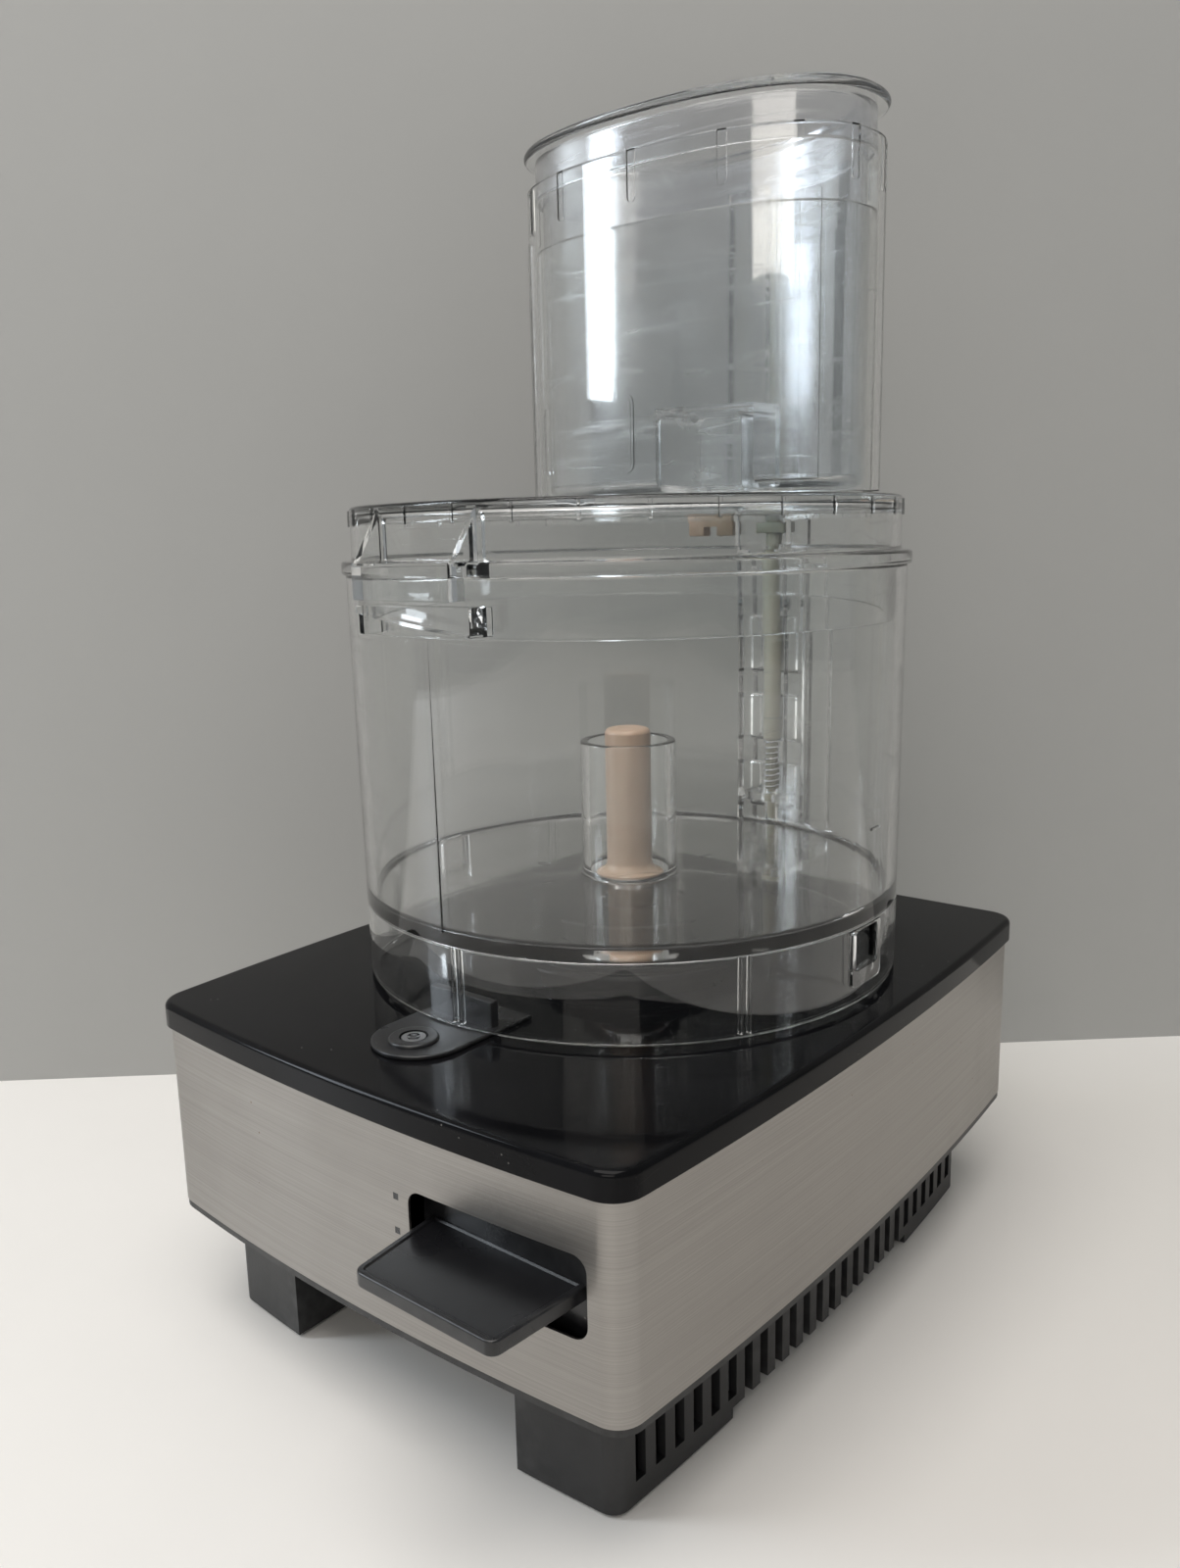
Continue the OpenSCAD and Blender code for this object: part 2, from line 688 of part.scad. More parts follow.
module stator_windings() {
    color("#b5622b") {
        for (z = [stator_z - coil_h, stator_top]) translate([0, 0, z]) rotate_extrude()
            translate([(coil_in + coil_out) / 2, coil_h / 2])
                round_rect(coil_out - coil_in, coil_h - 0.2, 3.5);
        for (i = [0:slot_count - 1]) rotate(360 / slot_count * i) translate([slot_ring, 0, 0])
            rod(slot_r, stator_z - 3, stator_top + 3, $fn = round_fn);
    }
}

module motor_bracket(plate_z, leg_z0, leg_z1) {
    difference() {
        union() {
            translate([0, 0, plate_z]) linear_extrude(bracket_t) difference() {
                round_rect(stator_side - 2, stator_side - 2, 10);
                for (a = [0:90:270]) rotate(a) translate([0, 26]) round_rect(26, 14, 4);
            }
            rod(bush_r + 3, plate_z - 3, plate_z + bracket_t + 3);
            at_bolts() rod(leg_r, leg_z0, leg_z1);
        }
        rod(bush_r - press, plate_z - 4, plate_z + bracket_t + 4);
        at_bolts() rod(bolt_r + 0.3, leg_z0 - 6, leg_z1 + 6);
    }
}

module lower_motor_bracket() {
    color("#a8abad") motor_bracket(lower_plate_z, lower_plate_z, stator_z);
}

module upper_motor_bracket() {
    color("#a8abad") motor_bracket(upper_plate_z, stator_top, upper_plate_z + bracket_t);
}

module lower_bush() {
    color("#b08d57") tube(bush_r, shaft_r + bush_gap, lower_plate_z - 3, lower_plate_z - 3 + bush_h);
}

module upper_bush() {
    color("#b08d57") tube(bush_r, shaft_r + bush_gap, upper_plate_z - 3, upper_plate_z - 3 + bush_h);
}

module motor_bolts() {
    color("#8a8a8c") at_bolts() {
        rod(bolt_r, lower_plate_z - 1, cover_z - 2);
        rod(3.6, lower_plate_z - 3, lower_plate_z);
    }
}

module motor_grommets() {
    color("#262626") at_bolts()
        tube(leg_r, bolt_r + 0.3, upper_plate_z + bracket_t, upper_plate_z + bracket_t + grommet_h);
}

module rotor_core() {
    color("#8b8d90") tube(rotor_r, shaft_r - press, stator_z, stator_top);
}

module rotor_end_rings() {
    color("#c9ccd0") for (z = [stator_z - end_ring_h, stator_top]) {
        tube(rotor_r - 1, rotor_r - 8, z, z + end_ring_h);
        for (i = [0:7]) rotate(45 * i) translate([rotor_r - 6.5, -1, z]) cube([4, 2, end_ring_h]);
    }
}

module cooling_fan() {
    fan_z = stator_z - end_ring_h - 1 - fan_h;
    color("#d8d4c8") {
        tube(shaft_r + 3, shaft_r - press, fan_z, fan_z + fan_h);
        tube(rotor_r - 2, shaft_r + 2.8, fan_z + fan_h - 1.2, fan_z + fan_h);
        for (i = [0:10]) rotate(360 / 11 * i) translate([shaft_r + 2.8, -0.6, fan_z])
            cube([rotor_r - shaft_r - 5, 1.2, fan_h - 1]);
    }
}

module motor_shaft() {
    color("#c4c7ca") {
        rod(shaft_r, shaft_z, sheath_top - 8);
        translate([0, 0, sheath_top - 8 - eps]) cylinder(r1 = shaft_r, r2 = shaft_r - 1, h = 1);
    }
}

module shaft_seal() {
    color("#202022") difference() {
        rod(seal_r, seal_z, seal_z + seal_h);
        rod(shaft_r + 0.3, seal_z - 1, seal_z + seal_h + 1);
        rod(shaft_r + 2, seal_z + 1.5, seal_z + seal_h - 1.5);
    }
}

module spindle_sheath() {
    color("#d9bfa6") difference() {
        rotate_extrude() polygon(concat(
            [[0, collar_z], [collar_r, collar_z], [collar_r, collar_z + 2.4]],
            [for (i = [1:5]) let (a = 18 * i) [collar_r - (collar_r - sheath_r) * sin(a),
                collar_z + 2.4 + 4 * (1 - cos(a))]],
            [[sheath_r, sheath_top - 1.4], [sheath_r - 0.5, sheath_top - 0.5],
             [sheath_r - 1.6, sheath_top], [0, sheath_top + 0.3]]));
        rod(shaft_r - press, collar_z - 1, sheath_top - 6);
    }
}

module at_capacitor(y) {
    translate([cap_x, y, deck_top + cap_r + 1]) children();
}

module run_capacitor() {
    color("#d0d3d6") at_capacitor(cap_y) rotate([-90, 0, 0]) {
        rod(cap_r, 0, cap_l);
        rod(cap_r - 1.5, -1.5, 0.5);
        for (x = [-4, 4]) translate([x - 1.6, -0.4, -9]) cube([3.2, 0.8, 9]);
    }
}

module capacitor_strap() {
    drop = cap_r + 1;
    color("#2a2a2c") at_capacitor(cap_y + 20) {
        rotate([-90, 0, 0]) difference() {
            rod(cap_r + strap_t + 0.1, 0, strap_w);
            rod(cap_r + 0.1, -1, strap_w + 1);
            translate([-cap_r - 5, 0, -1]) cube([2 * cap_r + 10, cap_r + 5, strap_w + 2]);
        }
        for (x = [-cap_r - strap_t - 0.1, cap_r + 0.1]) translate([x, 0, -drop])
            cube([strap_t, strap_w, drop + 0.1]);
        difference() {
            translate([cap_r + 0.1, 0, -drop]) cube([6, strap_w, strap_t]);
            translate([cap_r + 3.6, strap_w / 2, -drop - 1]) rod(1.2, 0, 4);
        }
    }
}

// ---------- safety interlock ----------

module interlock_switch() {
    top_z = plunger_low - 7;
    color("#3b3b40") translate([rod_x, rod_y - 3, 0]) {
        difference() {
            translate([-10, -7, top_z - 16]) cube([20, 14, 16]);
            translate([0, 3, top_z - 10]) rod(2, 0, 11);
        }
        translate([-10, -7, deck_top]) cube([20, 8, top_z - 16 - deck_top + 1]);
    }
}

module interlock_plunger() {
    color("#d9d3c2") translate([rod_x, rod_y, 0]) {
        rod(plunger_r, plunger_low, plunger_top);
        rod(plunger_r + 2.2, plunger_low, plunger_low + 1.6);
        rod(1.7, plunger_low - 9.5, plunger_low + 1);
    }
}

module plunger_spring() {
    color("#b9bbbe") translate([rod_x, rod_y, 0])
        coil_spring(4.4, 0.8, plunger_low - 6.9, plunger_low - 0.1, 3);
}

// ---------- bowl ----------

module bowl_side_profile() {
    inner = bowl_wall;
    polygon([
        [bowl_r - 2.2, bowl_z], [bowl_r - 0.3, bowl_z], [bowl_r, bowl_z + 0.6],
        [rim_r, rim_z], [rim_r - inner, rim_z], [bowl_r - inner, floor_top + 1],
        [bowl_r - inner - 1.2, floor_top],
        [hub_r + 1.6, floor_top], [hub_r, floor_top + 1.6],
        [hub_r, hub_top - 0.5], [hub_r - 0.5, hub_top], [hub_r - hub_wall + 0.3, hub_top],
        [hub_r - hub_wall, hub_top - 0.3], [hub_r - hub_wall, floor_top - floor_t],
        [bowl_r - inner, floor_top - floor_t], [bowl_r - 2.2, bowl_z + 12]]);
}

// Moulded guides on the skirt, in pairs, at one step of 60 degrees after another.
module skirt_ribs() {
    for (a = [-88, -31, 29, 149, 209]) for (side = [-1, 1]) rotate(a + side * 0.9)
        translate([bowl_r - 3.6, -0.5, bowl_z + 0.4]) cube([1.8, 1, floor_h - floor_t - 0.2]);
}

module front_ramp() {
    // wedge that the lid's lug rides over, thicker towards its right end
    intersection() {
        rotate_extrude() polygon([[rim_r - 1.2, rim_z - 7], [lug_reach, rim_z - 7], [lug_reach, rim_z - 16],
            [rim_r - 1.2, rim_z - 16]]);
        rotate([90, 0, 0]) linear_extrude(lug_reach + 1)
            polygon([[-ramp_end, rim_z - 6], [ramp_end, rim_z - 6],
                [ramp_end, rim_z - ramp_t], [-ramp_end, rim_z - 9]]);
        difference() {
            rod(lug_reach + 1, rim_z - 20, rim_z);
            rotate(-90 + ramp_right) translate([0, 0, rim_z - 30]) cube([200, 200, 60]);
            rotate(180 - ramp_left) translate([0, 0, rim_z - 30]) cube([200, 200, 60]);
        }
    }
}

module channel_box(half_w, y1, z0, z1) {
    translate([-half_w, rod_y - 8, z0]) cube([2 * half_w, y1 - rod_y + 8, z1 - z0]);
}

module work_bowl() {
    color("#c8d0d2", 0.35) difference() {
        union() {
            rotate_extrude($fn = 144) bowl_side_profile();
            skirt_ribs();
            front_ramp();
            difference() {
                channel_box(chan_half_w, chan_rear, bowl_z + 2, rim_z - 1.6);
                rod(bowl_r - 1.2, bowl_z, rim_z);
            }
            // eight marks around the hub
            for (i = [0:7]) rotate(22.5 + 45 * i) translate([28, -0.4, floor_top - 0.5])
                cube([4, 0.8, 0.8]);
        }
        // hollow of the handle channel
        for (span = [[bowl_z + 5, spring_low - 3], [spring_low, rim_z - 4]]) difference() {
            channel_box(chan_half_w - chan_wall, chan_rear - chan_wall, span[0], span[1]);
            rod(rim_r + 0.1, bowl_z, rim_z);
        }
        translate([rod_x, rod_y, 0]) rod(rod_thin + 0.4, bowl_z - 1, spring_low + 1);
        translate([rod_x, rod_y, 0]) rod(rod_thick + 0.5, rim_z - 5, rim_z + 1);
        // slots through the channel's side walls
        for (tier = [0:2], side = [-1, 1])
            translate([side * (chan_half_w - 1), chan_rear - 6.5, bowl_z + 38 + tier * 26])
            rotate([0, 90, 0]) linear_extrude(6, center = true) round_rect(18, 4, 1.9);
        // locking windows in the skirt
        translate([bowl_r, 0, bowl_z + 16]) cube([12, 13.4, 12], center = true);
        rotate(180) translate([bowl_r, 0, bowl_z + 16]) cube([12, 13.4, 12], center = true);
    }
}

module handle_cover() {
    color("#c8d0d2", 0.35) difference() {
        union() {
            for (s = [0:1]) translate([0, handle_mid_y, handle_low + 2 * (1 - s)])
                linear_extrude(handle_top - handle_low - 4 * (1 - s))
                    round_rect(2 * (handle_half_w - s), handle_depth - 2 * s, 7);
        }
        translate([0, 0, handle_low + 4.5]) linear_extrude(handle_top - handle_low - 9)
            translate([0, handle_mid_y - 2.6])
                round_rect(2 * (handle_half_w - handle_wall), handle_depth, 5);
        channel_box(chan_half_w + fit_gap, chan_rear + fit_gap, handle_low - 1, handle_top + 1);
        for (z = [handle_low + 10, handle_top - 10]) translate([0, chan_rear, z]) rotate([-90, 0, 0])
            rod(1.7, -1, 6);
    }
}

module handle_screws() {
    color("#8a8a8c") for (z = [handle_low + 18, handle_top - 18]) translate([0, chan_rear, z])
        rotate([-90, 0, 0]) {
        rod(1.4, -chan_wall + 0.2, 1);
        rod(2.8, fit_gap, 2);
    }
}

module activating_rod() {
    color("#e3ddcf") translate([rod_x, rod_y, 0]) {
        rod(rod_thin, rod_low, rod_step + 1);
        rod(rod_thick, rod_step, rod_top);
    }
}

module rod_spring() {
    color("#b9bbbe") translate([rod_x, rod_y, 0]) coil_spring(3.1, 0.6, spring_low, rod_step - 0.1, 5);
}

// ---------- lid ----------

module lid_profile() {
    polygon([
        [skirt_r, lid_z - lid_skirt], [skirt_r, lid_z], [rim_r - 3, lid_z],
        [flange_r - 0.6, lid_z + 0.1], [flange_r, lid_z + 0.8], [flange_r, lid_z + lid_flange_t - 0.8],
        [flange_r - 0.8, lid_z + lid_flange_t], [lid_r + 0.8, lid_z + lid_flange_t], [lid_r,
            lid_z + lid_flange_t + 1],
        [lid_r, lid_top - 0.8], [lid_r - 0.8, lid_top], [0, lid_top], [0, lid_top - lid_wall],
        [lid_r - lid_wall - 1.4, lid_top - lid_wall], [lid_r - lid_wall, lid_top - lid_wall - 1.4],
        [skirt_r - lid_wall + 0.4, lid_z - lid_skirt]]);
}

module lid_lug() {
    difference() {
        rotate_extrude() polygon([[lid_r - 1, lid_z - 5.6], [lug_reach, lid_z - 5.6], [lug_reach,
            lid_z + lid_flange_t],
            [lid_r - 1, lid_z + lid_flange_t]]);
        rotate(-90 + lug_right) translate([0, 0, lid_z - 30]) cube([200, 200, 60]);
        rotate(180 - lug_left) translate([0, 0, lid_z - 30]) cube([200, 200, 60]);
        translate([-200, -20, lid_z - 30]) cube([400, 400, 60]);
        rod(rim_r + 0.5, lid_z - 30, lid_z);
    }
    for (x = [-23.4, 13.2]) translate([x, 0, 0]) rotate([90, 0, 90]) linear_extrude(2)
        polygon([[-lug_reach + 3.4, lid_z + lid_flange_t - 1], [-lid_r + 3.6, lid_top - 0.2],
            [-lid_r + 6, lid_top - 0.2], [-lid_r + 6, lid_z + lid_flange_t - 1]]);
}

module bowl_cover() {
    color("#c8d0d2", 0.35) difference() {
        union() {
            difference() {
                union() {
                    rotate_extrude($fn = 144) lid_profile();
                    lid_lug();
                    // short ribs under the top edge
                    for (i = [0:lid_rib_count - 1]) rotate(360 / lid_rib_count * i)
                        translate([lid_r - 0.6, -0.5, lid_top - 6]) cube([1.2, 1, 5.4]);
                }
                oval_slab(tube_a - tube_wall, tube_b - tube_wall, lid_z - 30, lid_top + 5);
            }
            oval_shell(tube_a, tube_b, tube_wall, lid_top - lid_wall - 4, tube_top);
            // box over the safety rod
            difference() {
                channel_box(box_half_w, cap_rear, box_low, lid_top - 1);
                rod(lid_r - 1, lid_z - 20, lid_top + 5);
            }
        }
        difference() {
            channel_box(box_half_w - 2, cap_rear - 2, box_low + 2, lid_top);
            rod(lid_r + 0.2, lid_z - 30, lid_top + 5);
        }
        translate([rod_x, rod_y, 0]) rod(rod_thick, box_low - 1, box_low + 3);
        translate([15.6, -lug_reach + 3, lid_z + 0.6]) cube([3.2, 12, 3]);
    }
}

module lid_actuator() {
    color("#e3ddcf") translate([rod_x, rod_y, 0]) {
        rod(rod_thick - 0.4, actuator_low, actuator_top);
        translate([-6, -3.6, box_low + 8]) cube([12, 7.2, 4]);
    }
}

module actuator_cap() {
    color("#e3ddcf") difference() {
        channel_box(box_half_w, cap_rear, lid_top - 1, lid_top + 0.6);
        rod(lid_r + 0.3, lid_z, lid_top + 5);
        translate([rod_x, rod_y, 0]) rod(rod_thick + 0.2, lid_z, lid_top + 5);
    }
}

// ---------- sleeve and pusher ----------

module column_box(half_w, y1, z0, z1) {
    translate([-half_w, tube_y + sleeve_b - 5, z0]) cube([2 * half_w, y1 - tube_y - sleeve_b + 5, z1 - z0]);
}

module pusher_sleeve() {
    color("#c8d0d2", 0.35) difference() {
        union() {
            difference() {
                union() {
                    oval_slab(sleeve_a, sleeve_b, sleeve_z, sleeve_top);
                    column_box(column_half_w, column_rear, sleeve_z, sleeve_top);
                }
                oval_slab(sleeve_a - tube_wall, sleeve_b - tube_wall, sleeve_z - 1, sleeve_top + 1);
            }
            // ledge that the pusher's flange closes over
            oval_shell(sleeve_a, sleeve_b, tube_wall, sleeve_top - 4, sleeve_top);
        }
        difference() {
            column_box(column_half_w - 2, column_rear - 2, sleeve_z - 1, sleeve_top - 2);
            oval_slab(sleeve_a + 0.1, sleeve_b + 0.1, sleeve_z - 2, sleeve_top + 2);
        }
        translate([rod_x, rod_y, 0]) rod(push_rod_r + 0.3, sleeve_top - 8, sleeve_top + 1);
    }
}

module sleeve_push_rod() {
    color("#e3ddcf") translate([rod_x, rod_y, 0]) {
        rod(push_rod_r, push_rod_low, push_rod_top + 2);
        rod(push_rod_r + 0.9, sleeve_z + 2, sleeve_z + 6);
    }
}

module rod_retainer() {
    color("#e3ddcf") difference() {
        translate([-column_half_w + 2 + fit_gap, rod_y - 4.3, sleeve_z])
            cube([2 * (column_half_w - 2 - fit_gap), 8.6, 1.6]);
        translate([rod_x, rod_y, 0]) rod(push_rod_r - press, sleeve_z - 1, sleeve_z + 4);
    }
}

module large_pusher() {
    color("#c8d0d2", 0.35) difference() {
        union() {
            difference() {
                union() {
                    oval_slab(pusher_a, pusher_b, pusher_low, pusher_top);
                    oval_slab(sleeve_a + 0.8, sleeve_b + 0.8, pusher_top - pusher_flange_t,
                        pusher_top - 0.8);
                    oval_slab(sleeve_a, sleeve_b, pusher_top - pusher_flange_t, pusher_top);
                    oval_shell(sleeve_a - tube_wall - 0.8, sleeve_b - tube_wall - 0.8, tube_wall - 0.4,
                        pusher_top - collar_h, pusher_top - 1);
                }
                oval_slab(pusher_a - tube_wall, pusher_b - tube_wall, pusher_low + tube_wall,
                    pusher_top + 1);
            }
            // walls and ceiling of the notch, inside the pusher's own wall
            intersection() {
                translate([notch_x, notch_y, pusher_low]) linear_extrude(notch_h + tube_wall)
                    square([notch_w + 2 * tube_wall, 2 * (notch_d + tube_wall)], center = true);
                oval_slab(pusher_a - 1, pusher_b - 1, pusher_low - 1, pusher_top);
            }
        }
        // notch in the lower near wall
        translate([notch_x, notch_y, 0]) rotate([90, 0, 0]) linear_extrude(2 * notch_d, center = true)
            translate([0, pusher_low]) round_rect(notch_w, 2 * notch_h, 3);
        // window in the collar
        translate([window_in_collar_x, tube_y - sleeve_b + 2, pusher_top - 8]) rotate(-20)
            cube([16, 12, 5], center = true);
    }
}

steel_wrap();
top_cover();
bowl_latch_clip();
latch_screws();
bottom_housing();
rear_panel();
rubber_feet();
housing_screws();
cord_gland();
lever_pin();
control_lever();
control_switch();
switch_slider();
stator_core();
stator_windings();
lower_motor_bracket();
upper_motor_bracket();
lower_bush();
upper_bush();
motor_bolts();
motor_grommets();
rotor_core();
rotor_end_rings();
cooling_fan();
motor_shaft();
shaft_seal();
spindle_sheath();
run_capacitor();
capacitor_strap();
interlock_switch();
interlock_plunger();
plunger_spring();
work_bowl();
handle_cover();
handle_screws();
activating_rod();
rod_spring();
bowl_cover();
lid_actuator();
actuator_cap();
pusher_sleeve();
sleeve_push_rod();
rod_retainer();
large_pusher();
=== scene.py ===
"""Food processor: the looks of the motor base, bowl, lid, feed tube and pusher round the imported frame."""

from __future__ import annotations

import json
import logging
import math
from dataclasses import dataclass, field
from enum import Enum
from typing import Callable, Iterable, Sequence

import bmesh
import bpy
from mathutils import Matrix, Vector

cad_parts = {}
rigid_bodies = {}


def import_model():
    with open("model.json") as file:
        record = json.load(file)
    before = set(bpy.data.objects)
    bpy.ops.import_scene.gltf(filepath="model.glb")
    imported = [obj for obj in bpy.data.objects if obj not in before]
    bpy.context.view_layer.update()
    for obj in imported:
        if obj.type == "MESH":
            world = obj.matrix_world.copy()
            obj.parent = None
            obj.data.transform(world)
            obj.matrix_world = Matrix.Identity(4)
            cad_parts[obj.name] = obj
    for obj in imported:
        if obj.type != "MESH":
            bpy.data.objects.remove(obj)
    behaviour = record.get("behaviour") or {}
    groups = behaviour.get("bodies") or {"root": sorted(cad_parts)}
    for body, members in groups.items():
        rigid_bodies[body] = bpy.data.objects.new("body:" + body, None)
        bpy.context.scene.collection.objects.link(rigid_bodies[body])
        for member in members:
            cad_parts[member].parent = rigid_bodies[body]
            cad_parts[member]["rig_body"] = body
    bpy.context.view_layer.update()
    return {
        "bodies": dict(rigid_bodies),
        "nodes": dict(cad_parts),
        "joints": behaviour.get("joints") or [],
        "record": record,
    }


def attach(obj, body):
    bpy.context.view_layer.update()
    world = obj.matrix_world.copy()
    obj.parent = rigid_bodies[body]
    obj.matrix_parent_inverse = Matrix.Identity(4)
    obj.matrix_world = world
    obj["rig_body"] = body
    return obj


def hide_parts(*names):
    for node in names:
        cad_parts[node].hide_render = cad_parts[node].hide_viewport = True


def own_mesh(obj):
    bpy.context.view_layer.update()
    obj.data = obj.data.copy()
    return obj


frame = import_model()

MM = 0.001
log = logging.getLogger("food_processor")
Point = tuple[float, ...]


# ---------------------------------------------------------------- shared node groups


class Kind(Enum):
    """What a node group's socket carries."""

    VALUE = "NodeSocketFloat"
    VECTOR = "NodeSocketVector"


class Tree:
    """A small hand for building shader trees."""

    def __init__(self, tree: bpy.types.NodeTree) -> None:
        """Works on the given tree, from empty."""
        self.tree = tree
        tree.nodes.clear()

    def add(self, kind: str, **settings: object) -> bpy.types.Node:
        """Adds a node.

        Args:
            kind: the node's type name, without ShaderNode.
            settings: properties, or socket defaults whose names start with in_.
        Returns:
            The new node.
        """
        name = kind if kind.startswith("Node") else "ShaderNode" + kind
        node = self.tree.nodes.new(name)
        for key, value in settings.items():
            if key.startswith("in_"):
                node.inputs[key[3:].replace("_", " ")].default_value = value
            else:
                setattr(node, key, value)
        return node

    def join(self, source: bpy.types.NodeSocket, target: bpy.types.NodeSocket) -> None:
        """Links one socket to another."""
        self.tree.links.new(source, target)

    def math(self, operation: str, a: object, b: object = 0.0) -> bpy.types.NodeSocket:
        """A Math node on two values or sockets; returns its output."""
        node = self.add("Math", operation=operation)
        for socket, value in zip(node.inputs, (a, b)):
            if isinstance(value, bpy.types.NodeSocket):
                self.join(value, socket)
            else:
                socket.default_value = value
        return node.outputs[0]

    def remap(self, value: bpy.types.NodeSocket, low: float, high: float, to_low: float, to_high: float) -> bpy.types.NodeSocket:
        """A clamped Map Range from low..high to to_low..to_high; returns its output."""
        node = self.add("MapRange")
        self.join(value, node.inputs[0])
        for i, number in enumerate((low, high, to_low, to_high)):
            node.inputs[i + 1].default_value = number
        return node.outputs[0]

    def blend(self, mask: bpy.types.NodeSocket, a: object, b: object) -> bpy.types.NodeSocket:
        """A colour Mix from a to b by mask; returns its colour."""
        node = self.add("Mix", data_type="RGBA")
        self.join(mask, node.inputs[0])
        for socket, value in ((node.inputs[6], a), (node.inputs[7], b)):
            if isinstance(value, bpy.types.NodeSocket):
                self.join(value, socket)
            else:
                socket.default_value = (*value, 1.0)
        return node.outputs[2]


class GroupShelf:
    """The shader node groups that several finishes share, each built once."""

    def __init__(self) -> None:
        """Starts with nothing built."""
        self.made: dict[str, bpy.types.NodeTree] = {}

    def get(self, name: str) -> bpy.types.NodeTree:
        """The group of that name, built on first use."""
        if name not in self.made:
            self.made[name] = getattr(self, "_" + name)()
        return self.made[name]

    def _start(self, name: str, inputs: dict[str, tuple[Kind, object]], output: str) -> tuple[Tree, bpy.types.Node, bpy.types.Node]:
        """Makes a group with an interface.

        Args:
            name: the group's name.
            inputs: socket names with their kinds and defaults.
            output: the one output's name.
        Returns:
            The tree and its input and output nodes.
        """
        group = bpy.data.node_groups.new(name, "ShaderNodeTree")
        for label, (kind, value) in inputs.items():
            socket = group.interface.new_socket(label, in_out="INPUT", socket_type=kind.value)
            if kind is Kind.VALUE:
                socket.default_value = value
        group.interface.new_socket(output, in_out="OUTPUT", socket_type=Kind.VALUE.value)
        tree = Tree(group)
        return tree, tree.add("NodeGroupInput"), tree.add("NodeGroupOutput")

    def _noise(self, tree: Tree, vector: bpy.types.NodeSocket, scale: object, detail: float = 2.0, rough: float = 0.5) -> bpy.types.NodeSocket:
        """A noise texture's value on the given coordinates."""
        node = tree.add("TexNoise", in_Detail=detail, in_Roughness=rough)
        tree.join(vector, node.inputs["Vector"])
        if isinstance(scale, bpy.types.NodeSocket):
            tree.join(scale, node.inputs["Scale"])
        else:
            node.inputs["Scale"].default_value = scale
        return node.outputs["Fac"]

    def _grain(self) -> bpy.types.NodeTree:
        """Moulded or cast grain: a height from fine noise."""
        tree, inp, out = self._start("moulded_grain", {"Vector": (Kind.VECTOR, None), "Scale": (Kind.VALUE, 900.0)}, "Height")
        fine = self._noise(tree, inp.outputs["Vector"], inp.outputs["Scale"], 3.0, 0.6)
        broad = self._noise(tree, inp.outputs["Vector"], 60.0, 1.0)
        tree.join(tree.math("ADD", fine, tree.math("MULTIPLY", broad, 0.4)), out.inputs[0])
        return tree.tree

    def _smudge(self) -> bpy.types.NodeTree:
        """Handling marks: soft patches from 0 to 1."""
        tree, inp, out = self._start("handling_smudge", {"Vector": (Kind.VECTOR, None), "Scale": (Kind.VALUE, 18.0)}, "Mask")
        patches = self._noise(tree, inp.outputs["Vector"], inp.outputs["Scale"], 5.0, 0.62)
        tree.join(tree.remap(patches, 0.42, 0.68, 0.0, 1.0), out.inputs[0])
        return tree.tree

    def _hairline(self) -> bpy.types.NodeTree:
        """Fine scratches in three directions, from 0 to 1."""
        tree, inp, out = self._start("hairline_scratches", {"Vector": (Kind.VECTOR, None), "Scale": (Kind.VALUE, 40.0), "Width": (Kind.VALUE, 0.012)}, "Mask")
        total = None
        for turn in ((0.3, 0.2, 0.5), (0.9, -0.4, -0.9), (-0.5, 1.1, 1.9)):
            place = tree.add("Mapping", in_Rotation=turn, in_Scale=(0.16, 1.0, 3.2))
            tree.join(inp.outputs["Vector"], place.inputs["Vector"])
            lines = self._noise(tree, place.outputs[0], inp.outputs["Scale"], 1.0)
            away = tree.math("ABSOLUTE", tree.math("SUBTRACT", lines, 0.52))
            thin = tree.math("LESS_THAN", away, inp.outputs["Width"])
            gate = tree.remap(self._noise(tree, place.outputs[0], 23.0, 2.0), 0.56, 0.62, 0.0, 1.0)
            line = tree.math("MULTIPLY", thin, gate)
            total = line if total is None else tree.math("MAXIMUM", total, line)
        tree.join(total, out.inputs[0])
        return tree.tree

    def _speck(self) -> bpy.types.NodeTree:
        """Scattered specks of dust or rust, from 0 to 1."""
        tree, inp, out = self._start("scattered_specks", {"Vector": (Kind.VECTOR, None), "Scale": (Kind.VALUE, 160.0), "Size": (Kind.VALUE, 0.09)}, "Mask")
        cells = tree.add("TexVoronoi", in_Randomness=1.0)
        tree.join(inp.outputs["Vector"], cells.inputs["Vector"])
        tree.join(inp.outputs["Scale"], cells.inputs["Scale"])
        dot = tree.math("LESS_THAN", cells.outputs["Distance"], inp.outputs["Size"])
        some = tree.math("GREATER_THAN", self._noise(tree, inp.outputs["Vector"], 37.0, 3.0), 0.56)
        tree.join(tree.math("MULTIPLY", dot, some), out.inputs[0])
        return tree.tree

    def _streak(self) -> bpy.types.NodeTree:
        """Brushing or drawing lines that run level round the piece, from 0 to 1."""
        tree, inp, out = self._start("level_streaks", {"Vector": (Kind.VECTOR, None), "Fineness": (Kind.VALUE, 1.0)}, "Height")
        place = tree.add("Mapping", vector_type="POINT", in_Scale=(9.0, 9.0, 3000.0))
        tree.join(inp.outputs["Vector"], place.inputs["Vector"])
        fine = self._noise(tree, place.outputs[0], inp.outputs["Fineness"], 3.0, 0.7)
        wide = tree.add("Mapping", vector_type="POINT", in_Scale=(3.0, 3.0, 420.0))
        tree.join(inp.outputs["Vector"], wide.inputs["Vector"])
        broad = self._noise(tree, wide.outputs[0], inp.outputs["Fineness"], 2.0)
        tree.join(tree.math("ADD", tree.math("MULTIPLY", fine, 0.85), tree.math("MULTIPLY", broad, 0.15)), out.inputs[0])
        return tree.tree

